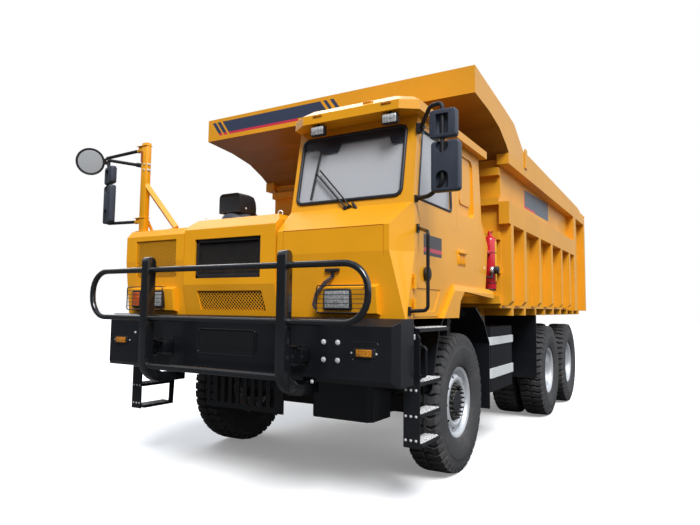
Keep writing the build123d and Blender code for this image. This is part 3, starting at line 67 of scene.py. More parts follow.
# Places worked out from the frame
LEFT_HUB = joint_place("front_spin_left")
RIGHT_HUB = joint_place("front_spin_right")
CENTRE = Vector(((LEFT_HUB.x + RIGHT_HUB.x) / 2, LEFT_HUB.y, 0))
FRONT_HUB_X = LEFT_HUB.x - CENTRE.x
TWIN_X = joint_place("middle_spin_left").x - CENTRE.x
TYRE_R = LEFT_HUB.z
AXLE_YS = {"middle": joint_place("middle_spin_left").y - CENTRE.y,
           "rear": joint_place("rear_spin_left").y - CENTRE.y}

# Driving sizes and places in metres, turns in radians

# Wheels
TWIN_GAP = 0.215
TWIN_TURN = 0.215
RIM_R = 0.318
FLANGE_R = 0.353
DOME_LEAN = math.radians(-38)

# Bumper, bull bar and boarding steps
BUMPER_Y = -1.786
BUMPER_PANEL_SPAN = ((-0.370, 0.305), (1.210, 1.430))
GUARD_Y = -2.05
POST_X = 0.78
POST_SHIFTS = (0.024, 0.026)
GUARD_LOOP_Z = (1.52, 1.96)
GUARD_LOOP_REACH = 1.55
LOW_BAR_Z = 1.09
# Each tread's top, front edge and rear edge
TREADS = ((1.475, -1.425, -0.805), (1.050, -1.425, -0.965), (0.800, -1.395, -0.995), (0.570, -1.375, -1.015))

# Hood, side box and front walls
FRONT_Y = -1.62
FOOT_Y = -1.56
FOLD_Z = 2.09
DECK_Z = 1.55
HOOD_FOLD_Z = 1.84
HOOD_TOP_Z = 2.487
BOX_TOP_Z = 2.4205
GRILLE_SPAN = ((-0.62, 0.20), (1.90, 2.28))
BOX_VENT_SPAN = ((-1.469, -0.881), (1.921, 2.299))
HOOD_VENT_SPAN = ((-0.585, 0.215), (1.601, 1.779))
INTAKE_AT = (-0.500, -1.140)

# Cab and its corner
CAB_SIDE_X = 1.62
# Leans of the cab's side and screen: how far, and over what rise
CAB_LEAN = (0.026, 0.86)
SILL_Z = 2.41
SCREEN_FOOT = (-1.42, 2.50)
SCREEN_LEAN = (0.14, 0.77)
BOTTLE_AT = (1.595, 0.735)

# Lamps
TURN_LAMPS_X = (-1.500, 1.310)
ROOF_LAMPS_X = (0.703, 1.422)

# Mirrors
MIRROR_Y = -1.5
MIRROR_POST_X = (-1.560, -1.475)
LEFT_BAR_X = -2.15
LEFT_HEADS_TURN = math.radians(-19)
DISC_Z = 3.315
DISC_AT = Vector((-2.49, MIRROR_Y, DISC_Z))
DISC_FACING = (0.80, -0.57, -0.18)

# Hoist
HOIST_Y = 0.6
HOIST_FOOT_Z = 1.25
HOIST_EYE_Z = 3.25


# Selection and modelling

def clear_selection():
    """Leaves edit mode with nothing selected."""
    if bpy.context.mode != "OBJECT":
        bpy.ops.object.mode_set(mode="OBJECT")
    bpy.ops.object.select_all(action="DESELECT")


def take(piece):
    """Leaves one piece selected and active."""
    clear_selection()
    piece.select_set(True)
    bpy.context.view_layer.objects.active = piece
    return piece


def settle(name):
    """Names the primitive just added and puts its place into its mesh."""
    piece = bpy.context.active_object
    piece.name = name
    bpy.ops.object.transform_apply(location=True, rotation=True, scale=True)
    return piece


def editing(piece, select="SELECT"):
    """Opens a piece in edit mode with all of it, or nothing, selected."""
    take(piece)
    bpy.ops.object.mode_set(mode="EDIT")
    bpy.ops.mesh.select_mode(type="VERT")
    bpy.ops.mesh.select_all(action=select)


def pick(piece, kind, test):
    """In edit mode, selects only the vertices, edges or faces whose middle passes a test."""
    bpy.ops.mesh.select_mode(type=kind)
    bpy.ops.mesh.select_all(action="DESELECT")
    mesh = bmesh.from_edit_mesh(piece.data)
    items = {"VERT": mesh.verts, "EDGE": mesh.edges, "FACE": mesh.faces}[kind]
    for item in items:
        corners = [item.co] if kind == "VERT" else [vertex.co for vertex in item.verts]
        if test(sum(corners, Vector()) / len(corners)):
            item.select_set(True)
    mesh.select_flush_mode()
    bmesh.update_edit_mesh(piece.data)


def tidy_mesh(piece):
    """Merges doubled points and turns the faces outwards."""
    editing(piece)
    bpy.ops.mesh.remove_doubles(threshold=1e-5)
    bpy.ops.mesh.normals_make_consistent(inside=False)
    clear_selection()
    return piece


def modify(piece, kind, **settings):
    """Adds a modifier with its settings and applies it."""
    take(piece)
    modifier = piece.modifiers.new(kind.title(), kind)
    for key, value in settings.items():
        setattr(modifier, key, value)
    bpy.ops.object.modifier_apply(modifier=modifier.name)
    return piece


def rounded(piece, width, segments=2):
    """Rounds the sharp edges of a piece."""
    return modify(piece, "BEVEL", width=width, segments=segments, limit_method="ANGLE",
                  angle_limit=math.radians(32))


def smooth(piece, degrees=35):
    """Shades a piece smooth except across its sharp edges."""
    take(piece)
    bpy.ops.object.shade_smooth_by_angle(angle=math.radians(degrees))
    return piece


def box(name, x, y, z, edge=0.003):
    """A box from three (low, high) pairs with its edges rounded."""
    clear_selection()
    pairs = [sorted(pair) for pair in (x, y, z)]
    bpy.ops.mesh.primitive_cube_add(size=1, location=[(low + high) / 2 for low, high in pairs])
    bpy.context.active_object.scale = [high - low for low, high in pairs]
    piece = settle(name)
    return rounded(piece, edge) if edge else piece


def disc(name, centre, radius, depth, axis="Z", sides=32, edge=0.0):
    """A short cylinder about one axis, centred on a point."""
    clear_selection()
    turn = {"X": (0, math.pi / 2, 0), "Y": (math.pi / 2, 0, 0), "Z": (0, 0, 0)}[axis]
    bpy.ops.mesh.primitive_cylinder_add(vertices=sides, radius=radius, depth=depth, location=centre, rotation=turn)
    piece = settle(name)
    return rounded(piece, edge) if edge else piece


def wire(name, points, closed=False):
    """A line of edges: one vertex extruded from point to point."""
    clear_selection()
    bpy.ops.mesh.primitive_plane_add(size=0.01, location=points[0])
    piece = settle(name)
    editing(piece)
    bpy.ops.mesh.merge(type="CENTER")
    route = points + [points[0]] if closed else points
    for start, end in zip(route, route[1:]):
        bpy.ops.mesh.extrude_region_move(TRANSFORM_OT_translate={"value": Vector(end) - Vector(start)})
    if closed:
        bpy.ops.mesh.select_all(action="SELECT")
        bpy.ops.mesh.remove_doubles(threshold=1e-5)
    clear_selection()
    return piece


def lathe(name, outline, steps):
    """A body turned about the x axis from a closed loop of (across, radius) points."""
    piece = wire(name, [(across, 0, radius) for across, radius in outline], closed=True)
    editing(piece)
    bpy.ops.mesh.spin(steps=steps, angle=2 * math.pi, center=(0, 0, 0), axis=(1, 0, 0))
    return tidy_mesh(piece)


def plate(name, outline, axis, span, edge=0.0):
    """A plate with a closed outline square to one axis, extruded between two places on it."""
    low, high = sorted(span)
    index = "XYZ".index(axis)
    points = [tuple(point[:index]) + (low,) + tuple(point[index:]) for point in outline]
    piece = wire(name, points, closed=True)
    editing(piece)
    bpy.ops.mesh.edge_face_add()
    thickness = [0.0, 0.0, 0.0]
    thickness[index] = high - low
    bpy.ops.mesh.extrude_region_move(TRANSFORM_OT_translate={"value": thickness})
    tidy_mesh(piece)
    return rounded(piece, edge) if edge else piece


def bar(name, points, radius, bend=0.0, closed=False, around=3):
    """A round bar: a line of edges with its corners bent, given a round section as a curve."""
    piece = wire(name, points, closed)
    if bend:
        editing(piece, "DESELECT")
        ends = [] if closed else [Vector(points[0]), Vector(points[-1])]
        pick(piece, "VERT", lambda middle: all((middle - end).length > 1e-4 for end in ends))
        bpy.ops.mesh.bevel(offset=bend, segments=7, affect="VERTICES")
    take(piece)
    bpy.ops.object.convert(target="CURVE")
    piece.data.bevel_depth = radius
    piece.data.bevel_resolution = around
    piece.data.use_fill_caps = not closed
    bpy.ops.object.convert(target="MESH")
    piece = tidy_mesh(bpy.context.active_object)
    return smooth(piece, 50)


def arc(first, through, last, steps=8):
    """Points along the circle through three points of a plane, ends included."""
    (ax, ay), (bx, by), (cx, cy) = first, through, last
    d = 2 * (ax * (by - cy) + bx * (cy - ay) + cx * (ay - by))
    a2, b2, c2 = ax * ax + ay * ay, bx * bx + by * by, cx * cx + cy * cy
    ux = (a2 * (by - cy) + b2 * (cy - ay) + c2 * (ay - by)) / d
    uy = (a2 * (cx - bx) + b2 * (ax - cx) + c2 * (bx - ax)) / d
    radius = math.hypot(ax - ux, ay - uy)
    start, middle, end = (math.atan2(y - uy, x - ux) for x, y in (first, through, last))
    while middle < start:
        middle += 2 * math.pi
    while end < start:
        end += 2 * math.pi
    if middle > end:
        end -= 2 * math.pi
    angles = [start + (end - start) * k / steps for k in range(steps + 1)]
    return [(ux + radius * math.cos(t), uy + radius * math.sin(t)) for t in angles]


def copied(piece, name, matrix):
    """A copy with its own mesh, moved by a matrix, its faces still outwards."""
    twin = piece.copy()
    twin.data = piece.data.copy()
    twin.name = name
    bpy.context.collection.objects.link(twin)
    twin.data.transform(matrix)
    if matrix.determinant() < 0:
        twin.data.flip_normals()
    return twin


def joined(name, pieces):
    """One piece joined from several."""
    clear_selection()
    for piece in pieces:
        piece.select_set(True)
    bpy.context.view_layer.objects.active = pieces[0]
    bpy.ops.object.join()
    piece = bpy.context.active_object
    piece.name = name
    return piece


def cleared(pieces):
    """Deletes pieces that only served to be copied."""
    clear_selection()
    for piece in pieces:
        piece.select_set(True)
    bpy.ops.object.delete()


def spread(middle, half):
    """The span that reaches as far either side of a middle."""
    return (middle - half, middle + half)


def moved(x, y, z):
    return Matrix.Translation((x, y, z))


def around(axis, angle):
    return Matrix.Rotation(angle, 4, axis)


MIRRORED = Matrix.Scale(-1, 4, (1, 0, 0))


def painted(piece, finish):
    """Gives a piece, or a part of one before it is joined to the rest, its finish."""
    piece.data.materials.clear()
    piece.data.materials.append(material(finish))
    return piece


def dress(piece, finish, body="root", replaces=()):
    """Moves a piece from the truck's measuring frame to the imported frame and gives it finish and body."""
    piece.data.transform(Matrix.Translation(CENTRE))
    if finish:
        painted(piece, finish)
    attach(piece, body)
    if replaces:
        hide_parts(*replaces)
    return piece


# Shader writing

class Signal:
    """A shader socket on which Python's arithmetic adds Math nodes."""

    def __init__(self, finish, socket):
        self.finish = finish
        self.socket = socket

    def math(self, operation, first, second, clamp=False):
        node = self.finish.add("ShaderNodeMath", {"operation": operation, "use_clamp": clamp},
                               {0: first, 1: second})
        return Signal(self.finish, node.outputs[0])

    def __add__(self, other):
        return self.math("ADD", self, other)

    def __radd__(self, other):
        return self.math("ADD", other, self)

    def __sub__(self, other):
        return self.math("SUBTRACT", self, other)

    def __rsub__(self, other):
        return self.math("SUBTRACT", other, self)

    def __mul__(self, other):
        return self.math("MULTIPLY", self, other)

    def __gt__(self, other):
        return self.math("GREATER_THAN", self, other)

    def __lt__(self, other):
        return self.math("LESS_THAN", self, other)

    def __abs__(self):
        return self.math("ABSOLUTE", self, 0.0)

    def clamped(self):
        return self.math("ADD", self, 0.0, clamp=True)

    def wave(self, pitch):
        """A smooth 0 to 1 ripple once in each pitch."""
        return self.math("SINE", self * (2 * math.pi / pitch), 0.0) * 0.5 + 0.5


class Graph:
    """A node tree, emptied, and the ways that this file adds to it."""

    def __init__(self, owner):
        owner.use_nodes = True
        self.nodes = owner.node_tree.nodes
        self.links = owner.node_tree.links
        self.nodes.clear()

    def add(self, kind, settings=None, sockets=None):
        """Adds a node, sets it, then fills its sockets with values or links."""
        node = self.nodes.new(kind)
        for key, value in (settings or {}).items():
            setattr(node, key, value)
        for key, value in (sockets or {}).items():
            if isinstance(value, Signal):
                value = value.socket
            if isinstance(value, bpy.types.NodeSocket):
                self.links.new(value, node.inputs[key])
            else:
                node.inputs[key].default_value = value
        return node

    def split(self, vector):
        """The three numbers of a vector."""
        return [Signal(self, socket) for socket in self.add("ShaderNodeSeparateXYZ", sockets={0: vector}).outputs]

    def step(self, value, low, high):
        """A smooth change from 0 at low to 1 at high."""
        node = self.add("ShaderNodeMapRange", {"interpolation_type": "SMOOTHSTEP"}, {0: value, 1: low, 2: high})
        return Signal(self, node.outputs[0])

    def mix(self, mask, first, second):
        """The first colour where the mask is 0, the second where it is 1."""
        node = self.add("ShaderNodeMix", {"data_type": "RGBA"}, {0: mask, 6: colour(first), 7: colour(second)})
        return node.outputs[2]


class Finish(Graph):
    """One material: its shader and the ways that this file feeds it."""

    def __init__(self, name):
        self.material = bpy.data.materials.new(name)
        super().__init__(self.material)
        self.shader = self.add("ShaderNodeBsdfPrincipled")
        self.add("ShaderNodeOutputMaterial", sockets={"Surface": self.shader.outputs[0]})
        self.place = self.add("ShaderNodeTexCoord").outputs["Object"]

    def noise(self, scale, detail=4.0, stretch=None):
        """Fractal noise over the object's own place; stretch is a size factor for each axis."""
        place = self.place
        if stretch:
            place = self.add("ShaderNodeVectorMath", {"operation": "MULTIPLY"}, {0: place, 1: stretch}).outputs[0]
        node = self.add("ShaderNodeTexNoise", sockets={"Vector": place, "Scale": scale, "Detail": detail})
        return Signal(self, node.outputs[0])

    def axes(self):
        """The object's x, y and z, in the truck's measuring frame."""
        shifted = self.add("ShaderNodeVectorMath", {"operation": "SUBTRACT"}, {0: self.place, 1: tuple(CENTRE)})
        return self.split(shifted.outputs[0])

    def facing(self, index):
        """How far the surface faces along one axis."""
        return self.split(self.add("ShaderNodeNewGeometry").outputs["Normal"])[index]

    def relief(self, height, strength, distance, soften=0.0):
        """Feeds a height to the shader's normal, with the edges softened by a radius."""
        sockets = {"Height": height, "Strength": strength, "Distance": distance}
        if soften:
            sockets["Normal"] = self.add("ShaderNodeBevel", {"samples": 4}, {"Radius": soften}).outputs[0]
        self.feed(Normal=self.add("ShaderNodeBump", sockets=sockets).outputs[0])

    def feed(self, **sockets):
        """Links values to the shader, by socket name with _ for a space."""
        for key, value in sockets.items():
            socket = self.shader.inputs[key.replace("_", " ")]
            if isinstance(value, Signal):
                value = value.socket
            if isinstance(value, bpy.types.NodeSocket):
                self.links.new(value, socket)
            else:
                socket.default_value = value
        return self.material


def colour(value):
    """A colour with its alpha, where one is given as three numbers."""
    if hasattr(value, "__len__"):
        return (*value[:3], 1.0)
    return value


def shade(value, factor):
    """A colour made lighter or darker."""
    return tuple(min(1.0, channel * factor) for channel in value[:3])


# Finishes

DUST = (0.52, 0.42, 0.30)
MUD = (0.16, 0.12, 0.085)
DECAL_BLUE = (0.035, 0.05, 0.10)
DECAL_RED = (0.62, 0.03, 0.07)
DECAL_SLATE = (0.085, 0.115, 0.15)
# The canopy's bars and band: where each starts and ends at its foot, and whether it is underlined
CANOPY_BARS = ((-1.581, -1.524, True), (-1.500, -1.443, True), (-1.411, 0.085, True), (0.125, 0.170, False),
               (0.215, 0.265, False))
CANOPY_BAND_Z = (3.811, 3.842, 3.99)
CANOPY_LIP_Y = -0.30
CANOPY_SLANT = 0.72
# The body's band on its side walls, and the red along its front and foot
BODY_WALL_X = (1.63, 1.69)
BODY_BAND_Y = (2.09, 3.62)
BODY_BAND_Z = (2.971, 3.1605)
BODY_BAND_RISE = (0.0131, 0.0403)
BODY_RED_Y = (2.13, 2.72)
BODY_RED_Z = 3.0
DOOR_PATCH_Y = (-1.215, -0.805)
DOOR_PATCH_Z = (2.085, 2.262)
DOOR_LINE_Z = (2.115, 2.15)
TANK_STRAPS_Z = ((0.838, 0.952), (1.218, 1.312))
TANK_SIDE_X = 0.995


def within(value, span):
    """A mask: 1 where a value lies inside a span."""
    return (value > span[0]) * (value < span[1])


def soiled(finish, base, dust, mud, mud_top):
    """A colour with dust on what faces up and dry mud towards the ground."""
    broad = finish.noise(1.7, 5.0)
    fine = finish.noise(26.0, 6.0)
    height = finish.axes()[2]
    patches = finish.step(fine * 0.5 + broad * 0.5, 0.38, 0.66)
    splashes = finish.step(broad * 0.6 + fine * 0.4, 0.38, 0.68)
    dusty = (finish.step(finish.facing(2), 0.25, 0.95) * patches * dust).clamped()
    muddy = ((1.0 - finish.step(height, mud_top * 0.35, mud_top)) * splashes * mud).clamped()
    tint = finish.mix(finish.step(broad, 0.3, 0.7), base[0], base[1])
    tint = finish.mix(dusty, tint, DUST)
    return finish.mix(muddy, tint, MUD), dusty, muddy, fine


def paint(name, tone, roughness, dust=0.25, mud=0.3, mud_top=1.3, peel=0.03, soften=0.004, coat=0.0, gloss=0.5,
          marks=None):
    """Sprayed paint with a slight peel, dust above and mud below; marks paints decals on it, and on the canopy also
    a painted shade on what faces down.
    """
    finish = Finish(name)
    base = [shade(tone, 0.95), shade(tone, 1.04)]
    tint, dusty, muddy, fine = soiled(finish, base, dust, mud, mud_top)
    if marks:
        tint = marks(finish, tint)
    finish.relief(finish.noise(420.0, 2.0), peel, 0.002, soften)
    finish.feed(Coat_Weight=coat, Coat_Roughness=0.08, Specular_IOR_Level=gloss)
    return finish.feed(Base_Color=tint, Roughness=roughness + fine * 0.12 + dusty * 0.35 + muddy * 0.3)


def canopy_marks_and_shade(finish, tint):
    """The canopy's blue band with its red underline and slanted bars at each end, and a painted shade that darkens
    what faces down.
    """
    x, y, z = finish.axes()
    front = y < CANOPY_LIP_Y
    # Painted shade: surfaces facing down are darkened towards a dark brown, standing in for the shade under the
    # canopy
    tint = finish.mix(finish.step(finish.facing(2) * -1.0, 0.3, 0.7) * 0.72, tint, (0.060, 0.030, 0.020))
    slant = x + (z - 3.81) * CANOPY_SLANT
    foot, line, head = CANOPY_BAND_Z
    rise = within(z, (line, head)) * front
    under = within(z, (foot, line)) * front
    for start, end, lined in CANOPY_BARS:
        inside = within(slant, (start, end))
        tint = finish.mix(inside * rise, tint, DECAL_BLUE)
        if lined:
            tint = finish.mix(inside * under * (x < -0.35), tint, DECAL_RED)
    return tint


def box_marks(finish, tint):
    """The blue band with its red underline on each side wall of the body, between the belt and the rail."""
    x, y, z = finish.axes()
    side = within(abs(x), BODY_WALL_X) * (x * finish.facing(0) > 0.5)
    foot, head = [z - y * rise for rise in BODY_BAND_RISE]
    band = side * within(y, BODY_BAND_Y) * (foot > BODY_BAND_Z[0]) * (head < BODY_BAND_Z[1])
    tint = finish.mix(band, tint, DECAL_SLATE)
    edge = (y < BODY_RED_Y[0]) + (foot < BODY_RED_Z) * (y < BODY_RED_Y[1])
    return finish.mix(band * edge, tint, DECAL_RED)


def door_marks(finish, tint):
    """The dark patch with a red line on each side of the cab."""
    x, y, z = finish.axes()
    inside = (x > CAB_SIDE_X - 0.02) * within(y, DOOR_PATCH_Y)
    tint = finish.mix(inside * within(z, DOOR_PATCH_Z), tint, (0.02, 0.02, 0.03))
    return finish.mix(inside * within(z, DOOR_LINE_Z), tint, DECAL_RED)


def strap_bands(finish, tint):
    """The bright steel straps round the tanks."""
    x, _, z = finish.axes()
    low, high = TANK_STRAPS_Z
    bands = within(z, low) + within(z, high)
    return finish.mix(bands * (abs(x) > TANK_SIDE_X), tint, (0.60, 0.62, 0.63))


def tread_plate(name):
    """Light grey step plate, speckled where the grip coat catches the light."""
    finish = Finish(name)
    grain = finish.noise(150.0, 5.0)
    specks = finish.step(grain, 0.42, 0.60)
    tint = finish.mix(specks, (0.30, 0.30, 0.30), (0.95, 0.94, 0.93))
    finish.relief(grain, 0.7, 0.002)
    return finish.feed(Base_Color=tint, Roughness=0.6 + grain * 0.2)


def core_fins(name):
    """The radiator core behind the grille: fine level fins between upright tubes."""
    finish = Finish(name)
    x, _, z = finish.axes()
    fins, tubes = z.wave(0.006), x.wave(0.024)
    tint = finish.mix(fins * 0.6 + finish.noise(30.0) * 0.4, (0.006, 0.006, 0.008), (0.030, 0.031, 0.036))
    tint = finish.mix(finish.step(tubes, 0.80, 0.95) * 0.6, tint, (0.045, 0.045, 0.050))
    finish.relief(fins + tubes, 0.6, 0.003)
    return finish.feed(Base_Color=tint, Roughness=0.5, Specular_IOR_Level=0.25)


def rubber(name):
    """Worn tyre rubber, dusty between the lugs and on the lower wall."""
    finish = Finish(name)
    fine = finish.noise(60.0, 6.0)
    broad = finish.noise(3.0, 4.0)
    dusty = (finish.step(broad * 0.6 + fine * 0.4, 0.45, 0.7) * 0.35).clamped()
    tint = finish.mix(fine, (0.036, 0.036, 0.038), (0.066, 0.066, 0.070))
    tint = finish.mix(dusty, tint, (0.15, 0.14, 0.125))
    finish.relief(fine, 0.25, 0.002)
    return finish.feed(Base_Color=tint, Roughness=0.72 + fine * 0.2, Specular_IOR_Level=0.3)


def metal(name, tone, roughness, metallic=1.0, brush=None, wear=0.25, bump=0.06):
    """Bare or silver-painted metal with fine marks."""
    finish = Finish(name)
    marks = finish.noise(90.0, 6.0, brush)
    broad = finish.noise(4.0, 4.0)
    tint = finish.mix(marks, shade(tone, 0.88), shade(tone, 1.06))
    tint = finish.mix((finish.step(broad, 0.55, 0.75) * wear).clamped(), tint, MUD)
    finish.relief(marks, bump, 0.001)
    return finish.feed(Base_Color=tint, Roughness=roughness + marks * 0.15, Metallic=metallic)


def cast(name, tone):
    """Painted casting with a coarse skin, oily dust and mud."""
    finish = Finish(name)
    tint, _, _, fine = soiled(finish, [shade(tone, 0.8), shade(tone, 1.2)], 0.45, 0.6, 1.0)
    finish.relief(finish.noise(160.0, 3.0), 0.3, 0.003, 0.006)
    return finish.feed(Base_Color=tint, Roughness=0.55 + fine * 0.25)


def moulded(name, tone, roughness=0.5):
    """Grained moulded plastic."""
    finish = Finish(name)
    grain = finish.noise(500.0, 2.0)
    broad = finish.noise(5.0, 4.0)
    finish.relief(grain, 0.12, 0.001, 0.003)
    tint = finish.mix(broad, shade(tone, 0.85), shade(tone, 1.25))
    tint = finish.mix((finish.step(finish.facing(2), 0.4, 1.0) * broad * 0.3).clamped(), tint, DUST)
    return finish.feed(Base_Color=tint, Roughness=roughness + grain * 0.12)


def clear(name, tone, alpha, roughness=0.03):
    """Tinted window glass with a thin film of dust."""
    finish = Finish(name)
    film = finish.step(finish.noise(7.0, 6.0), 0.4, 0.8)
    tint = finish.mix(film * 0.3, tone, (0.55, 0.55, 0.52))
    return finish.feed(Base_Color=tint, Roughness=roughness + film * 0.05, Alpha=film * 0.06 + alpha, IOR=1.5,
                       Specular_IOR_Level=0.6)


def lens(name, tone, glow, pitch):
    """A moulded lamp lens with fluting in front of its reflector; its colour is lightened and darkened along the
    flutes and in random specks, a painted glint of the reflector behind.
    """
    finish = Finish(name)
    x, _, z = finish.axes()
    flutes = x.wave(pitch) * z.wave(pitch * 1.7)
    # Painted highlight: the colour runs from a darker to a lighter copy of the tone along the flutes and in random
    # specks, standing in for the reflector's sparkle seen through the lens
    fine = finish.step(finish.noise(75.0, 4.0), 0.40, 0.62)
    tint = finish.mix((flutes * 0.35 + fine * 0.65).clamped(), shade(tone, 0.52), shade(tone, 1.3))
    finish.relief(flutes, 0.5, 0.004)
    return finish.feed(Base_Color=tint, Roughness=0.12, Metallic=glow, Coat_Weight=1.0, Coat_Roughness=0.03)


def woven(name, tone):
    """Seat cloth: a plain weave with worn nap."""
    finish = Finish(name)
    x, y, z = finish.axes()
    weave = x.wave(0.004) * (y + z).wave(0.004)
    nap = finish.noise(12.0, 5.0)
    tint = finish.mix(weave * 0.6 + nap * 0.4, shade(tone, 0.6), shade(tone, 1.7))
    finish.relief(weave, 0.4, 0.0015)
    return finish.feed(Base_Color=tint, Roughness=0.9, Sheen_Weight=0.25)


def finish_table(tones):
    """Every finish by name, as the function that makes it."""
    yellow, box_yellow, black = tones.cab_yellow, tones.box_yellow, tones.black
    return {
        "body_paint": lambda n: paint(n, yellow, 0.30, dust=0.03, mud=0.03, coat=0.25),
        "door_paint": lambda n: paint(n, yellow, 0.30, dust=0.03, mud=0.03, coat=0.25, marks=door_marks),
        "box_paint": lambda n: paint(n, box_yellow, 0.40, dust=0.10, mud=0.10, mud_top=2.0, peel=0.05, coat=0.1,
                                     marks=box_marks),
        "canopy_paint": lambda n: paint(n, box_yellow, 0.36, dust=0.06, mud=0.0, peel=0.05, coat=0.2,
                                        marks=canopy_marks_and_shade),
        "black_paint": lambda n: paint(n, black, 0.24, dust=0.0, mud=0.06, mud_top=1.0, gloss=0.35, coat=0.15),
        "frame_paint": lambda n: paint(n, (0.012, 0.012, 0.014), 0.5, dust=0.10, mud=0.22, mud_top=1.3, gloss=0.2),
        "guard_paint": lambda n: paint(n, (0.008, 0.009, 0.011), 0.16, dust=0.0, mud=0.04, soften=0.0, gloss=0.5,
                                       coat=0.6),
        "tank_paint": lambda n: paint(n, black, 0.42, dust=0.0, mud=0.10, gloss=0.08, marks=strap_bands),
        "red_paint": lambda n: paint(n, (0.60, 0.010, 0.022), 0.22, dust=0.0, mud=0.0, coat=0.5),
        "label_yellow": lambda n: paint(n, (0.90, 0.50, 0.02), 0.35, dust=0.0, mud=0.0, soften=0.0),
        "rust_brown": lambda n: paint(n, (0.30, 0.075, 0.02), 0.6, dust=0.0, mud=0.0, peel=0.2, soften=0.0),
        "strap_web": lambda n: woven(n, (0.060, 0.042, 0.050)),
        "axle_iron": lambda n: cast(n, (0.020, 0.020, 0.023)),
        "engine_iron": lambda n: cast(n, (0.06, 0.065, 0.07)),
        "tyre": rubber,
        "rim_silver": lambda n: metal(n, (0.68, 0.70, 0.73), 0.32, metallic=0.55, wear=0.06),
        "bolt_zinc": lambda n: metal(n, (0.86, 0.86, 0.86), 0.35, metallic=0.35, wear=0.05),
        "step_steel": tread_plate,
        "hoist_steel": lambda n: metal(n, (0.50, 0.51, 0.53), 0.22, brush=(1, 1, 0.05), wear=0.05),
        "mirror_glass": lambda n: metal(n, (0.84, 0.87, 0.90), 0.10, metallic=0.6, wear=0.0, bump=0.0),
        "black_plastic": lambda n: moulded(n, (0.010, 0.010, 0.013)),
        "housing_plastic": lambda n: moulded(n, (0.034, 0.042, 0.062), 0.40),
        "screw_black": lambda n: moulded(n, (0.010, 0.011, 0.014), 0.35),
        "dash_plastic": lambda n: moulded(n, (0.06, 0.065, 0.07)),
        "core_fins": core_fins,
        "gasket": lambda n: moulded(n, (0.014, 0.018, 0.030), 0.4),
        "seat_fabric": lambda n: woven(n, (0.07, 0.07, 0.08)),
        "glass": lambda n: clear(n, (0.62, 0.64, 0.68), 0.64),
        "lamp": lambda n: lens(n, (0.86, 0.88, 0.90), 0.5, 0.030),
        "amber_lamp": lambda n: lens(n, (0.90, 0.30, 0.015), 0.1, 0.012),
        "deep_amber": lambda n: lens(n, (0.95, 0.13, 0.010), 0.05, 0.012),
        "red_lamp": lambda n: lens(n, (0.5, 0.02, 0.02), 0.1, 0.014),
    }


def material(name):
    """A finish by name, made once."""
    title = "truck_" + name
    return bpy.data.materials.get(title) or finish_table(bpy.context.scene.truck_tones)[name](title)


# What each CAD node that stays is finished with, where its finish isn't its record's slot
NODE_FINISH = {"canopy": "canopy_paint", "cab_door": "door_paint", "engine": "engine_iron", "tanks": "tank_paint"}


# Wheels

def tyre_carcass():
    """Tyre walls and tread base: half of the section from bead to crown, mirrored."""
    half = [(0.1257, RIM_R + 0.0005), (0.1257, 0.350), (0.146, 0.364), (0.152, 0.366), (0.156, 0.376),
            (0.170, 0.408), (0.180, 0.450), (0.1845, 0.500), (0.1848, 0.540), (0.183, 0.556), (0.1800, 0.560),
            (0.1785, 0.572), (0.1745, 0.600), (0.166, 0.630), (0.156, 0.648), (0.100, 0.656), (0.0, 0.658)]
    outline = half + [(-x, r) for x, r in reversed(half[:-1])]
    return smooth(lathe("tyre_carcass", outline, 96), 40)


def tyre_lug(lug_tip):
    """One pitch of the tread: two bent lugs either side of the middle, and their shoulder blocks."""
    reach, half = 0.166, 0.036
    bends = [(0.005, 0.000), (0.052, 0.017), (0.108, -0.006), (reach, 0.012)]
    outline = [(x, t - half) for x, t in bends] + [(x, t + half) for x, t in reversed(bends)]
    lug = plate("lug", outline, "Z", (0.640, lug_tip))
    editing(lug, "DESELECT")
    pick(lug, "VERT", lambda middle: middle.z > 0.66)
    bpy.ops.transform.resize(value=(0.985, 0.93, 1.0), center_override=(0.085, 0.004, lug_tip))
    pick(lug, "VERT", lambda middle: middle.z > 0.66 and middle.x > 0.14)
    bpy.ops.transform.translate(value=(-0.010, 0.0, -0.009))
    rounded(lug, 0.003, 1)
    block = plate("block", [(0.148, 0.600), (0.1765, 0.606), (0.169, 0.642), (0.150, 0.665)], "Y", (-0.026, 0.026),
                  0.003)
    right = joined("right", [lug, block])
    left = copied(right, "left", moved(0, 0.010, 0) @ MIRRORED)
    return smooth(joined("tread_pitch", [right, left]), 30)


def tyre():
    """The whole tyre about the x axis, a lug at its foot."""
    sizes = bpy.context.scene.truck_wheels
    pitch = tyre_lug(TYRE_R - 0.0030)
    turns = [around("X", math.pi + 2 * math.pi * k / sizes.lug_pitches) for k in range(sizes.lug_pitches)]
    lugs = [copied(pitch, "pitch", turn) for turn in turns]
    cleared([pitch])
    return joined("tyre_whole", [tyre_carcass()] + lugs)


def nut_ring(count, radius, x, size, depth):
    """Wheel nuts with their stud ends, facing out along x."""
    nut = disc("nut", (x + depth / 2, 0, radius), size, depth, "X", 6, 0.0015)
    stud = disc("stud", (x + depth * 0.8, 0, radius), size * 0.55, depth * 1.6, "X", 10)
    washer = disc("washer", (x + 0.002, 0, radius), size * 1.2, 0.005, "X", 16)
    one = joined("nut_one", [nut, stud, washer])
    ring = [copied(one, "nut_copy", around("X", 2 * math.pi * (k + 0.5) / count)) for k in range(count)]
    cleared([one])
    return painted(smooth(joined("nuts", ring), 40), "screw_black")


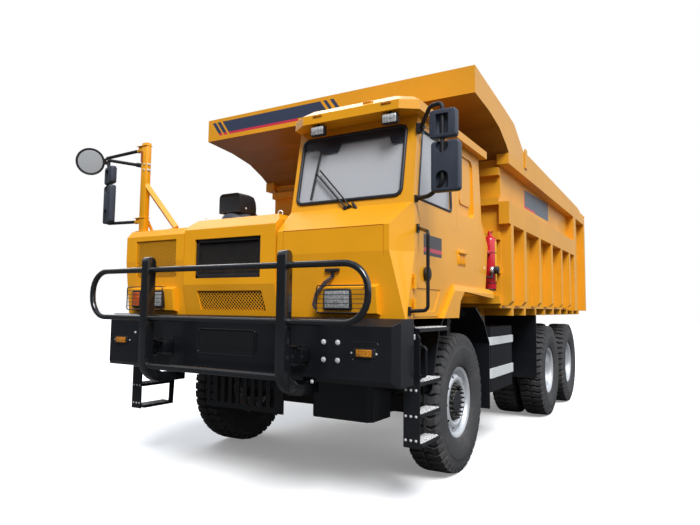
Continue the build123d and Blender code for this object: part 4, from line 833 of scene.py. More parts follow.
def front_rim():
    """Steel rim with a domed disc, dark discs set in its hand holes as painted shade, and a hub ringed by nuts."""
    sizes = bpy.context.scene.truck_wheels
    outline = [(-0.138, FLANGE_R), (-0.126, FLANGE_R), (-0.126, RIM_R), (0.126, RIM_R), (0.126, FLANGE_R),
               (0.134, FLANGE_R), (0.138, 0.349), (0.136, 0.338), (0.126, 0.318), (0.110, 0.306), (0.084, 0.300),
               (0.074, 0.296), (0.080, 0.286), (0.096, 0.276), (0.110, 0.264), (0.118, 0.248), (0.1195, 0.232),
               (0.117, 0.214), (0.107, 0.200), (0.092, 0.192), (0.085, 0.184), (0.085, 0.118), (0.092, 0.110),
               (0.118, 0.104), (0.125, 0.094), (0.125, 0.0), (0.080, 0.0), (0.080, 0.0615), (-0.060, 0.0615),
               (-0.060, 0.130), (0.050, 0.150), (0.060, 0.240), (0.030, 0.292), (-0.108, 0.298), (-0.130, 0.330)]
    rim = lathe("rim_turned", outline, 72)
    painted(smooth(rim, 35), "rim_silver")
    hub = painted(disc("hub_cap", (0.1065, 0, 0), 0.1140, 0.040, "X", 40, 0.010), "screw_black")
    recess = painted(disc("recess", (0.0872, 0, 0), 0.1875, 0.006, "X", 48), "screw_black")
    # Painted shade: a dark disc fills each hand hole, standing in for the shade seen through the opening
    hole = painted(disc("hand_hole", (0, 0, 0), 0.0125, 0.016, "X", 20), "screw_black")
    hole.data.transform(moved(0.1055, 0, 0.2620) @ around("Y", DOME_LEAN))
    holes = [copied(hole, "hand_hole_copy", around("X", 2 * math.pi * (k + 0.5) / sizes.hand_holes))
             for k in range(sizes.hand_holes)]
    cleared([hole])
    return joined("front_rim_whole", [rim, hub, recess, nut_ring(sizes.nuts, 0.160, 0.087, 0.0175, 0.034)] + holes)


def twin_rim():
    """The two rims of a driven wheel in one, a deep dish outside and the hub end inside it."""
    sizes = bpy.context.scene.truck_wheels
    outer = [(0.341, RIM_R), (0.341, FLANGE_R), (0.349, FLANGE_R), (0.353, 0.349), (0.351, 0.338), (0.342, 0.322),
             (0.325, 0.306), (0.300, 0.300), (0.130, 0.298), (0.112, 0.293), (0.100, 0.280), (0.060, 0.232),
             (0.044, 0.216), (0.040, 0.205), (0.040, 0.150), (0.240, 0.140), (0.256, 0.134), (0.262, 0.120),
             (0.265, 0.060), (0.265, 0.0), (0.100, 0.0), (0.100, 0.0765), (-0.225, 0.0765), (-0.225, 0.140),
             (-0.060, 0.297), (-0.300, 0.300), (-0.330, 0.312), (-0.353, 0.349), (-0.353, FLANGE_R),
             (-0.341, FLANGE_R), (-0.341, RIM_R), (-0.089, RIM_R), (-0.089, 0.345), (0.089, 0.345), (0.089, RIM_R)]
    rim = painted(smooth(lathe("twin_turned", outer, 72), 35), "rim_silver")
    outline = [(0.04, 0.151), (0.241, 0.1408), (0.257, 0.135), (0.2632, 0.1205), (0.2662, 0.0), (0.2, 0.0)]
    cap = painted(smooth(lathe("drive_cap", outline, 40), 40), "axle_iron")
    return joined("twin_rim_whole", [rim, cap, nut_ring(sizes.nuts, 0.180, 0.041, 0.0165, 0.024)])


class TRUCK_OT_wheels(bpy.types.Operator):
    """Tyres with their lugs and rims with their nuts, at all six hubs"""
    bl_idname = "truck.wheels"
    bl_label = "Wheels"

    def execute(self, context):
        whole_tyre, front, twin = tyre(), front_rim(), twin_rim()
        for word, side in (("left", Matrix.Identity(4)), ("right", MIRRORED)):
            hub = side @ moved(FRONT_HUB_X, 0, TYRE_R)
            dress(copied(whole_tyre, f"tyre_front_{word}", hub), "tyre", f"front_wheel_{word}",
                  [f"front_tyre_{word}"])
            dress(copied(front, f"rim_front_{word}", hub), None, f"front_wheel_{word}",
                  [f"front_rim_{word}"])
            for axle, y in AXLE_YS.items():
                hub = side @ moved(TWIN_X, y, TYRE_R)
                # The lugs of the two tyres don't line up
                pair = [copied(whole_tyre, "twin", hub @ moved(way * TWIN_GAP, 0, 0) @ around("X", way * TWIN_TURN))
                        for way in (-1, 1)]
                dress(joined(f"tyres_{axle}_{word}", pair), "tyre", f"{axle}_wheels_{word}",
                      [f"{axle}_tyres_{word}"])
                dress(copied(twin, f"rims_{axle}_{word}", hub), None, f"{axle}_wheels_{word}",
                      [f"{axle}_rims_{word}"])
        cleared([whole_tyre, front, twin])
        return {"FINISHED"}


# Front guard, bumper and steps

def bolt(centre, axis, size=0.012, depth=0.010):
    """A hexagon bolt head on its washer, facing -y or +x."""
    out = Vector((0, -1, 0)) if axis == "Y" else Vector((1, 0, 0))
    head = disc("head", Vector(centre) + out * depth * 0.6, size, depth, axis, 6, 0.001)
    washer = disc("washer", Vector(centre) + out * 0.0015, size * 1.35, 0.003, axis, 18)
    return joined("bolt", [head, washer])


class TRUCK_OT_guard(bpy.types.Operator):
    """The bull bar: hooked posts with their welds, the bent loop, the low bar and the tow brackets"""
    bl_idname = "truck.guard"
    bl_label = "Bull bar"

    def execute(self, context):
        sizes = context.scene.truck_guard
        outline = arc((-2.10, 2.03), (GUARD_Y, 2.08), (-2.00, 2.03))
        outline += arc((-2.00, 1.18), (-1.955, 1.075), (-1.85, 1.015))
        outline += [(-1.60, 1.015), (-1.60, 0.93)] + arc((-1.87, 0.93), (-2.04, 1.005), (-2.10, 1.18))
        half = [plate("post", outline, "X", spread(POST_X, 0.043), 0.008),
                box("tie", spread(POST_X, 0.040), (-1.66, -1.60), (1.01, 1.0345))]
        # Tow brackets: an upright I on a boxed arm from the bumper
        across = spread(POST_X, 0.07)
        half += [box("flange", across, (-2.0, -1.90), z, 0.003) for z in ((1.176, 1.190), (1.321, 1.335))]
        half += [box("web", (POST_X + 0.02, POST_X + 0.034), (-1.99, -1.90), (1.185, 1.325), 0.002),
                 box("arm", across, (-1.902, -1.786), (1.200, 1.300), 0.004),
                 box("back", across, (-1.80, -1.786), (1.17, 1.34), 0.003)]
        welds = [(side * 0.046, z, 0.0315) for side in (-1, 1) for z in GUARD_LOOP_Z] + [(-0.046, LOW_BAR_Z, 0.035)]
        half += [disc("weld", (POST_X + x, GUARD_Y, z), radius, 0.008, "X", 28, 0.003) for x, z, radius in welds]
        one = smooth(joined("guard_half", half), 40)
        other = copied(one, "guard_other", moved(POST_SHIFTS[1], 0, 0) @ MIRRORED)
        one.data.transform(moved(POST_SHIFTS[0], 0, 0))
        (low, high), reach = GUARD_LOOP_Z, GUARD_LOOP_REACH
        corners = [(-reach, GUARD_Y, low), (reach, GUARD_Y, low), (reach, GUARD_Y, high), (-reach, GUARD_Y, high)]
        loop = bar("loop", corners, sizes.tube_radius, sizes.bend, closed=True)
        low_bar = bar("low_bar", [(-POST_X, GUARD_Y, LOW_BAR_Z), (POST_X, GUARD_Y, LOW_BAR_Z)], 0.030)
        dress(joined("front_guard", [one, other, loop, low_bar]), "guard_paint",
              replaces=["bull_bar"])
        return {"FINISHED"}


class TRUCK_OT_fixings(bpy.types.Operator):
    """Bright bolts, tread grips, step lamps, the bumper's punched panel, the strap and the lifting eyes"""
    bl_idname = "truck.fixings"
    bl_label = "Fixings"

    def execute(self, context):
        places = [(side * x, BUMPER_Y, z) for side in (-1, 1) for x in (1.007, 1.139) for z in (1.220, 1.360)]
        bolts = [bolt(place, "Y", 0.016, 0.012) for place in places]
        bolts += [bolt((side * x, -1.430, z), "Y", 0.008, 0.006) for side in (-1, 1) for x in (1.560, 1.605, 1.650)
                  for z in (0.987, 0.783, 0.597)]
        # Odd bolts of the bumper, brackets and skid plate: place and head size
        odd = [((-1.227, BUMPER_Y, 1.367), 0.009), ((0.901, BUMPER_Y, 1.040), 0.012),
               ((1.266, BUMPER_Y - 0.003, 1.286), 0.006), ((1.485, BUMPER_Y - 0.003, 1.286), 0.006),
               ((-1.525, BUMPER_Y - 0.003, 1.288), 0.006), ((-1.303, BUMPER_Y - 0.003, 1.288), 0.006)]
        bolts += [bolt(place, "Y", size, size * 0.7) for place, size in odd]
        dress(smooth(joined("bright_bolts", bolts), 40), "bolt_zinc")
        step_lamps = [box("step_lamp", (side * 1.595, side * 1.643), (-1.440, -1.4295), (1.385, 1.428), 0.004)
                      for side in (-1, 1)]
        dress(joined("step_lamps", step_lamps), "bolt_zinc")
        self.bumper_mesh()
        self.strap()
        self.eyes()
        grips = []
        for tread in TREADS:
            grips += [tread_grip(side, *tread) for side in (-1, 1)]
        dress(joined("tread_grips", grips), "step_steel")
        return {"FINISHED"}

    def bumper_mesh(self):
        """The punched panel in the middle of the bumper and the stamped outline round the cab-side turn lamp."""
        (x0, x1), (z0, z1) = BUMPER_PANEL_SPAN
        sheet = holed_sheet("bumper_mesh", (x0 + 0.015, x1 - 0.015), (z0 + 0.015, z1 - 0.015), 0.0155, 0.0105)
        sheet.data.transform(moved(0, BUMPER_Y - 0.003, 0))
        modify(sheet, "SOLIDIFY", thickness=0.003)
        corners = [(x0, BUMPER_Y, z0), (x1, BUMPER_Y, z0), (x1, BUMPER_Y, z1), (x0, BUMPER_Y, z1)]
        rim = bar("rim", corners, 0.004, 0.03, closed=True, around=2)
        corners = [(1.270, BUMPER_Y, 1.225), (1.498, BUMPER_Y, 1.225), (1.498, BUMPER_Y, 1.372),
                   (1.270, BUMPER_Y, 1.372)]
        stamp = bar("stamp", corners, 0.003, 0.03, closed=True, around=2)
        dress(joined("bumper_panel", [sheet, rim, stamp]), "guard_paint")

    def strap(self):
        """The webbing strap that hangs from its latch on the cab's lower front."""
        route = ((0.975, 1.900), (0.925, 1.845), (0.850, 1.750), (0.815, 1.652), (0.830, 1.618))
        middle = [Vector(point) for point in route]
        half = Vector((0.015, -0.004))
        outline = [tuple(point + half) for point in middle] + [tuple(point - half) for point in reversed(middle)]
        strap = plate("strap", outline, "Y", (-0.0045, -0.0005))
        # Below its keeper the strap stands off the wall
        keeper_z, slack, stand_off = 1.885, 0.05, 0.082
        for vertex in strap.data.vertices:
            below = min(1.0, max(0.0, (keeper_z - vertex.co.z) / slack))
            vertex.co.y += front_wall_y(vertex.co.z) - stand_off * below
        dress(strap, "strap_web")
        y = front_wall_y(1.945)
        latch = [box("latch", (0.898, 1.039), (y - 0.022, y - 0.001), (1.931, 1.959), 0.005),
                 box("keeper", (0.955, 0.985), (y - 0.012, y - 0.001), (1.885, 1.935), 0.003)]
        dress(joined("latch", latch), "black_plastic")

    def eyes(self):
        """Two lifting eyes on the hood's front edge."""
        rings = []
        for x in (-0.652, 0.275):
            clear_selection()
            bpy.ops.mesh.primitive_torus_add(location=(x, -1.43, HOOD_TOP_Z + 0.019),
                                             rotation=(math.pi / 2, 0, 0.5), major_radius=0.021,
                                             minor_radius=0.0055, major_segments=24, minor_segments=8)
            rings += [settle("ring"), disc("shank", (x, -1.43, HOOD_TOP_Z - 0.002), 0.011, 0.010)]
        dress(smooth(joined("lifting_eyes", rings), 40), "bolt_zinc")


def tread_grip(side, top, front, rear):
    """The raised teeth pressed into one tread."""
    low, high = 1.545, 1.672
    rows, columns = 4, max(4, int((rear - front) / 0.034))
    clear_selection()
    middle = (side * (low + high) / 2, (front + rear) / 2, top + 0.0005)
    bpy.ops.mesh.primitive_grid_add(x_subdivisions=rows, y_subdivisions=columns, size=1, location=middle)
    bpy.context.active_object.scale = (high - low, rear - front, 1)
    grip = settle("grip")
    editing(grip)
    bpy.ops.mesh.select_mode(type="FACE")
    bpy.ops.mesh.inset(thickness=0.006, use_individual=True)
    bpy.ops.mesh.extrude_region_move(TRANSFORM_OT_translate={"value": (0, 0, 0.006)})
    bpy.ops.mesh.inset(thickness=0.004, use_individual=True)
    bpy.ops.transform.translate(value=(0, 0, -0.005))
    clear_selection()
    return grip


# Grille and vents

def holed_sheet(name, x, z, pitch, hole):
    """A flat sheet in x and z at y = 0, full of eight-sided holes in staggered rows."""
    clear_selection()
    side = (x[1] - x[0] + z[1] - z[0]) / math.sqrt(2)
    count = math.ceil(side / pitch)
    bpy.ops.mesh.primitive_grid_add(x_subdivisions=count, y_subdivisions=count, size=count * pitch,
                                    rotation=(math.pi / 2, math.pi / 4, 0))
    sheet = settle(name)
    sheet.data.transform(moved((x[0] + x[1]) / 2, 0, (z[0] + z[1]) / 2))
    editing(sheet)
    bpy.ops.mesh.select_mode(type="FACE")
    bpy.ops.mesh.inset(thickness=(pitch - hole) / 2, use_individual=True)
    # Cutting a square hole's corners back by this share of its side makes it eight-sided
    bpy.ops.mesh.bevel(offset=hole * 0.29, affect="VERTICES")
    bpy.ops.mesh.select_all(action="DESELECT")
    bpy.ops.mesh.select_face_by_sides(number=8, type="EQUAL")
    bpy.ops.mesh.delete(type="FACE")
    return trimmed(sheet, x, z)


def trimmed(sheet, x, z):
    """A sheet cut off outside its span in x and z."""
    # Planes: a point on each and its outward side
    planes = (((x[0], 0, 0), (-1, 0, 0)), ((x[1], 0, 0), (1, 0, 0)),
              ((0, 0, z[0]), (0, 0, -1)), ((0, 0, z[1]), (0, 0, 1)))
    for point, normal in planes:
        editing(sheet)
        bpy.ops.mesh.bisect(plane_co=point, plane_no=normal, clear_outer=True)
        clear_selection()
    return sheet


def front_wall_y(z):
    """Where the front walls stand at a height: they lean below their fold."""
    return FRONT_Y if z > FOLD_Z else FOOT_Y + (FRONT_Y - FOOT_Y) * (z - DECK_Z) / (FOLD_Z - DECK_Z)


class TRUCK_OT_grille(bpy.types.Operator):
    """The radiator grille of stretched mesh and the punched vent sheets"""
    bl_idname = "truck.grille"
    bl_label = "Grille and vents"

    def execute(self, context):
        sizes = context.scene.truck_front
        (x0, x1), (z0, z1) = GRILLE_SPAN
        y = FRONT_Y + 0.02
        sides = [box("side", (x, x + 0.035), (y, y + 0.04), (z0, z1), 0.004) for x in (x0, x1 - 0.035)]
        rails = [box("rail", (x0, x1), (y, y + 0.04), (z, z + 0.035), 0.004) for z in (z0, z1 - 0.035)]
        clear_selection()
        bpy.ops.mesh.primitive_grid_add(x_subdivisions=62, y_subdivisions=62, size=1.2,
                                        rotation=(math.pi / 2, math.pi / 4, 0))
        mesh = settle("grille_mesh")
        mesh.data.transform(moved((x0 + x1) / 2, y + 0.02, (z0 + z1) / 2) @ Matrix.Diagonal((1.0, 1.0, 0.55, 1.0)))
        trimmed(mesh, (x0 + 0.03, x1 - 0.03), (z0 + 0.03, z1 - 0.03))
        modify(mesh, "WIREFRAME", thickness=sizes.mesh_strand, use_replace=True, use_even_offset=False)
        dress(joined("grille_front", sides + rails + [mesh]), "black_plastic", replaces=["grille"])
        core = box("radiator_core", (x0 + 0.01, x1 - 0.01), (FRONT_Y + 0.064, FRONT_Y + 0.070),
                   (z0 + 0.01, z1 - 0.01), 0.001)
        dress(core, "core_fins")
        self.vents(sizes)
        return {"FINISHED"}

    def vents(self, sizes):
        """The sheets in the side box and under the grille, each behind the lip of its opening."""
        sheet = holed_sheet("box_vent", *BOX_VENT_SPAN, sizes.vent_pitch, sizes.vent_hole)
        for vertex in sheet.data.vertices:
            vertex.co.y = front_wall_y(vertex.co.z) + 0.012
        modify(sheet, "SOLIDIFY", thickness=0.003)
        dress(sheet, "body_paint")
        back = box("box_vent_back", BOX_VENT_SPAN[0], (FRONT_Y + 0.040, FRONT_Y + 0.0445), BOX_VENT_SPAN[1], 0)
        dress(back, "black_plastic")
        low = holed_sheet("hood_vent", *HOOD_VENT_SPAN, sizes.vent_pitch, sizes.vent_hole)
        for vertex in low.data.vertices:
            vertex.co.y = FOOT_Y + (FRONT_Y - FOOT_Y) * (vertex.co.z - DECK_Z) / (HOOD_FOLD_Z - DECK_Z) + 0.012
        modify(low, "SOLIDIFY", thickness=0.003)
        dress(low, "body_paint")
        outline = [(FOOT_Y + 0.018, 1.602), (FOOT_Y + 0.022, 1.602), (FRONT_Y + 0.043, 1.778),
                   (FRONT_Y + 0.039, 1.778)]
        low_back = plate("hood_vent_back", outline, "X", HOOD_VENT_SPAN[0])
        dress(low_back, "black_plastic")


# Lamps

def wire_guard(name, x, z, y, rungs):
    """A lamp's wire guard: a bent loop, its rungs and its stays."""
    (x0, x1), (z0, z1) = x, z
    corners = [(x0, y, z0), (x1, y, z0), (x1, y, z1), (x0, y, z1)]
    parts = [bar("loop", corners, 0.0055, 0.022, closed=True, around=2)]
    for k in range(rungs):
        height = z0 + (z1 - z0) * (k + 1) / (rungs + 1)
        parts.append(bar("rung", [(x0, y, height), (x1, y, height)], 0.003, around=1))
    for across in (x0 + 0.04, x1 - 0.04):
        for height in (z0, z1):
            parts.append(bar("stay", [(across, y, height), (across, y + 0.075, height)], 0.004, around=1))
    return joined(name, parts)


class TRUCK_OT_lamps(bpy.types.Operator):
    """Headlamps with bezels and guards, turn lamps, work lamps and the roof's marker lamps"""
    bl_idname = "truck.lamps"
    bl_label = "Lamps"

    def execute(self, context):
        y = front_wall_y(1.70) - 0.06
        lenses, ambers, deep, black = [], [], [], []
        # Pod lamps: x span, and which lens
        for x0, x1, group in ((0.905, 1.175, lenses), (-1.150, -1.000, lenses), (-1.466, -1.336, deep)):
            black.append(box("bezel", (x0 + 0.001, x1 - 0.001), (y - 0.018, y + 0.038), (1.6135, 1.7865), 0.010))
            group.append(box("lens", (x0 + 0.016, x1 - 0.016), (y - 0.026, y - 0.005), (1.628, 1.772), 0.012))
        for x in TURN_LAMPS_X:
            ambers.append(box("turn", (x + 0.004, x + 0.136), (BUMPER_Y - 0.024, BUMPER_Y - 0.002), (1.259, 1.316),
                              0.006))
            black.append(box("plate", (x - 0.03, x + 0.17), (BUMPER_Y - 0.006, BUMPER_Y - 0.0005), (1.252, 1.323),
                             0.003))
        for x in ROOF_LAMPS_X:
            black.append(box("case", spread(x, 0.074), (-1.478, -1.430), (3.165, 3.255), 0.010))
            black.append(box("foot", spread(x, 0.014), (-1.470, -1.440), (3.250, 3.2695), 0.002))
            lenses.append(box("work", spread(x, 0.064), (-1.484, -1.470), (3.174, 3.247), 0.008))
        dress(smooth(joined("lamp_cases", black), 40), "black_plastic", replaces=["headlamps"])
        dress(smooth(joined("lamp_lenses", lenses), 40), "lamp")
        ambers += [box("marker", spread(x, 0.048), (-1.511, -1.480), (3.327, 3.3485), 0.007)
                   for x in (0.72, 1.405)]
        ambers.append(box("marker", (1.156, 1.252), (-1.462, -1.425), (3.372, 3.402), 0.007))
        dress(smooth(joined("amber_pod_lens", deep), 40), "deep_amber")
        dress(smooth(joined("amber_lenses", ambers), 40), "amber_lamp")
        guards = [wire_guard("guard_right", (0.874, 1.341), (1.592, 1.812), y - 0.065, 5),
                  wire_guard("guard_left", (-1.480, -0.963), (1.592, 1.822), y - 0.065, 5)]
        dress(joined("lamp_guards", guards), "guard_paint")
        return {"FINISHED"}


# Mirrors

def side_lean(z):
    """How far the cab's side stands in at a height: it leans in above the window sill."""
    return CAB_LEAN[0] * max(0.0, z - SILL_Z) / CAB_LEAN[1]


def mirror_head(x, z, face_y, arm_x, tall=False):
    """A mirror shell with the recess that its arm stands in, and its glass to the rear."""
    (x0, x1), (z0, z1) = x, z
    front, back = face_y - 0.069, face_y - 0.001
    shell = box("shell", (x0 + 0.002, x1 - 0.002), (front, back), (z0 + 0.002, z1 - 0.002), 0)
    editing(shell, "DESELECT")
    pick(shell, "EDGE", lambda middle: abs(middle.y - (front + back) / 2) < 0.005)
    bpy.ops.mesh.bevel(offset=0.030, segments=5)
    clear_selection()
    rounded(shell, 0.013, 3)
    wide = 0.052
    if tall:
        # A scoop at the top, and an arch at the foot where the arm comes out again
        cutters = [disc("scoop", (arm_x, front, z1 - 0.045), wide, 0.075, "Y", 32),
                   disc("arch", (arm_x, front, z0 + 0.115), wide, 0.085, "Y", 32),
                   box("below", spread(arm_x, wide), (front - 0.02, front + 0.0425),
                       (z0 + 0.030, z0 + 0.115), 0)]
    else:
        cutters = [box("recess", spread(arm_x, wide), (front - 0.02, front + 0.042),
                       (z0 + 0.034, z1 - 0.040), 0.006)]
    for cutter in cutters:
        modify(shell, "BOOLEAN", operation="DIFFERENCE", object=cutter, solver="EXACT")
    cleared(cutters)
    painted(smooth(shell, 35), "housing_plastic")
    edge = 0.016
    glass = box("glass", (x0 + edge, x1 - edge), (face_y - 0.003, face_y - 0.0003), (z0 + edge, z1 - edge), 0.001)
    return joined("mirror_head", [shell, painted(glass, "mirror_glass")])


def clamp(z, drop=0.0):
    """What holds one mirror arm to the post: a flange, a cheek and a socket."""
    x0 = MIRROR_POST_X[0]
    parts = [box("flange", (x0 - 0.070, x0 + 0.088), (MIRROR_Y - 0.042, MIRROR_Y + 0.0405), (z + 0.027, z + 0.034),
                 0.002),
             box("cheek", (x0 - 0.060, x0 + 0.002), spread(MIRROR_Y, 0.026), (z - 0.024, z + 0.028),
                 0.004),
             bar("socket", [(x0 - 0.085, MIRROR_Y, z - drop), (x0, MIRROR_Y, z)], 0.0235, around=4)]
    return painted(smooth(joined("clamp", parts), 40), "body_paint")


class TRUCK_OT_mirrors(bpy.types.Operator):
    """The mirrors: the yellow post on the side box, the tubes, housings and the round mirror"""
    bl_idname = "truck.mirrors"
    bl_label = "Mirrors"

    def execute(self, context):
        parts = self.post() + self.left_set() + self.right_set()
        dress(joined("mirror_set", parts), None, replaces=["mirrors"])
        return {"FINISHED"}

    def post(self):
        """The boxed post with its cap, the square strut that leans on it and the rear stay."""
        x0, x1 = MIRROR_POST_X
        y, depth = MIRROR_Y, 0.0325
        top = 3.399
        post = box("post", MIRROR_POST_X, spread(y, depth), (BOX_TOP_Z, top - 0.004), 0.007)
        lid = box("lid", (x0 + 0.003, x1 - 0.003), (y - depth + 0.003, y + depth - 0.003), (top - 0.006, top),
                  0.003)
        foot = box("post_foot", (x0 - 0.02, x1 + 0.03), spread(y, 0.06), (BOX_TOP_Z, BOX_TOP_Z + 0.008), 0.002)
        strut = bar("strut", [(x1 - 0.02, y, 2.93), (-1.04, y + 0.02, BOX_TOP_Z + 0.02)], 0.0355, around=0)
        strut_foot = box("strut_foot", (-1.089, -0.991), (y - 0.029, y + 0.069), (BOX_TOP_Z, BOX_TOP_Z + 0.012),
                         0.003)
        stay = bar("stay", [(-1.518, y + 0.02, 2.60), (-1.518, y + 0.13, BOX_TOP_Z + 0.004)], 0.016, around=1)
        frame_parts = painted(smooth(joined("post_set", [post, lid, foot, strut, strut_foot, stay]), 35),
                              "body_paint")
        pin = bar("hinge_pin", [(x0 + 0.02, y - 0.043, 3.30), (x0 + 0.02, y - 0.043, 3.185)], 0.011)
        pieces = [frame_parts, clamp(3.336, 0.012), clamp(2.545, 0.006), painted(pin, "rust_brown")]
        bolts = [bolt((x1 + 0.0005, y + dy, z), "X", 0.009, 0.010) for dy in (-0.012, 0.012)
                 for z in (3.160, 3.098)]
        bolts += [bolt((x0 + 0.055, y - depth - 0.0005, z), "Y", 0.008, 0.008) for z in (3.160, 3.098)]
        return pieces + [painted(smooth(joined("post_bolts", bolts), 40), "bolt_zinc")]

    def left_set(self):
        """The arms, the rail with its two housings and the round mirror turned to the driver."""
        x0, y, r = MIRROR_POST_X[0], MIRROR_Y, 0.018
        parts = [bar("arm", [(x0 - 0.05, y, 3.330), (LEFT_BAR_X + 0.02, y, DISC_Z + 0.002),
                             (LEFT_BAR_X - 0.03, y, DISC_Z)],
                     r, 0.015, around=4),
                 bar("arm", [(x0 + 0.01, y, 3.150), (LEFT_BAR_X, y, DISC_Z - 0.028)], r, around=4),
                 bar("sleeve", [(x0 - 0.10, y, 3.177), (x0 + 0.005, y, 3.152)], 0.025, around=4),
                 bar("rail", [(LEFT_BAR_X, y, DISC_Z + 0.01), (LEFT_BAR_X, y, 2.555), (x0 - 0.05, y, 2.540)], r,
                     0.06, around=4),
                 bar("reach", [(LEFT_BAR_X, y, DISC_Z), (-2.30, y + 0.04, DISC_Z),
                               (-2.375, -1.335, DISC_Z + 0.002), (-2.43, -1.335, DISC_Z + 0.004),
                               tuple(DISC_AT - Vector(DISC_FACING) * 0.028)], 0.014, 0.02, around=4)]
        turn = Vector(DISC_FACING).to_track_quat("X", "Z").to_matrix().to_4x4()
        shell = lathe("disc", [(-0.034, 0.0), (-0.034, 0.06), (-0.020, 0.125), (-0.004, 0.152), (0.008, 0.1585),
                               (0.018, 0.157), (0.0195, 0.150), (0.015, 0.147), (0.012, 0.0)], 64)
        shine = lathe("shine", [(0.0135, 0.1475), (0.0165, 0.11), (0.0185, 0.055), (0.0192, 0.0), (0.0125, 0.0),
                                (0.0125, 0.1475)], 64)
        for piece in (shell, shine):
            piece.data.transform(Matrix.Translation(DISC_AT) @ turn)
        parts = [painted(part, "black_plastic") for part in parts + [smooth(shell, 45)]]
        parts.append(painted(smooth(shine, 60), "mirror_glass"))
        face_y = y + 0.04
        across = (LEFT_BAR_X - 0.05, LEFT_BAR_X + 0.18)
        heads = [mirror_head(across, z, face_y, LEFT_BAR_X + 0.040, tall)
                 for z, tall in (((3.0, 3.2), False), ((2.55, 2.985), True))]
        for head in heads:
            head.data.transform(moved(LEFT_BAR_X, y, 0) @ around("Z", LEFT_HEADS_TURN) @ moved(-LEFT_BAR_X, -y, 0))
        return parts + heads

    def right_set(self):
        """The looped arm on two pads ahead of the door, with its two housings."""
        x1, arm_x, y, r = CAB_SIDE_X, 1.90, MIRROR_Y, 0.018
        face_y = y + 0.04
        top_foot, low_foot = (y + 0.195, 3.14), (y + 0.118, 2.53)
        route = [(x1 + 0.012, *top_foot), (x1 + 0.17, y + 0.02, 3.25), (arm_x, y, 3.25), (arm_x, y, 2.61),
                 (x1 + 0.15, y + 0.06, 2.53), (x1 + 0.012, *low_foot)]
        parts = [bar("arm_right", route, r, 0.04, around=4)]
        # Pads: place along and up, half width, half height
        for (across, z), wide, tall in ((top_foot, 0.030, 0.040), (low_foot, 0.022, 0.028)):
            lean = side_lean(z - tall)
            parts.append(box("pad", (x1 - lean + 0.0005, x1 + 0.016), spread(across, wide), spread(z, tall), 0.003))
            parts.append(bar("boss", [(x1 + 0.010, across, z), (x1 + 0.045, across - 0.012, z + 0.006)], 0.0225,
                             around=4))
            parts.append(box("jaw", (x1 + 0.004, x1 + 0.034), spread(across, wide * 0.8),
                             spread(z, tall * 0.6), 0.006))
            parts += [bolt((x1 + 0.016, across, z + dz), "X", 0.006, 0.006) for dz in (-tall * 0.7, tall * 0.7)]
        parts = [painted(part, "black_plastic") for part in parts]
        return parts + [mirror_head((arm_x - 0.105, arm_x + 0.125), (2.960, 3.195), face_y, arm_x + 0.005),
                        mirror_head((arm_x - 0.090, arm_x + 0.15), (2.535, 2.940), face_y, arm_x + 0.005, True)]


# Cab trim

def on_screen(x, z):
    """A point on the leaning windscreen's outer face."""
    foot_y, foot_z = SCREEN_FOOT
    return (x, foot_y + (z - foot_z) * SCREEN_LEAN[0] / SCREEN_LEAN[1] - 0.004, z)


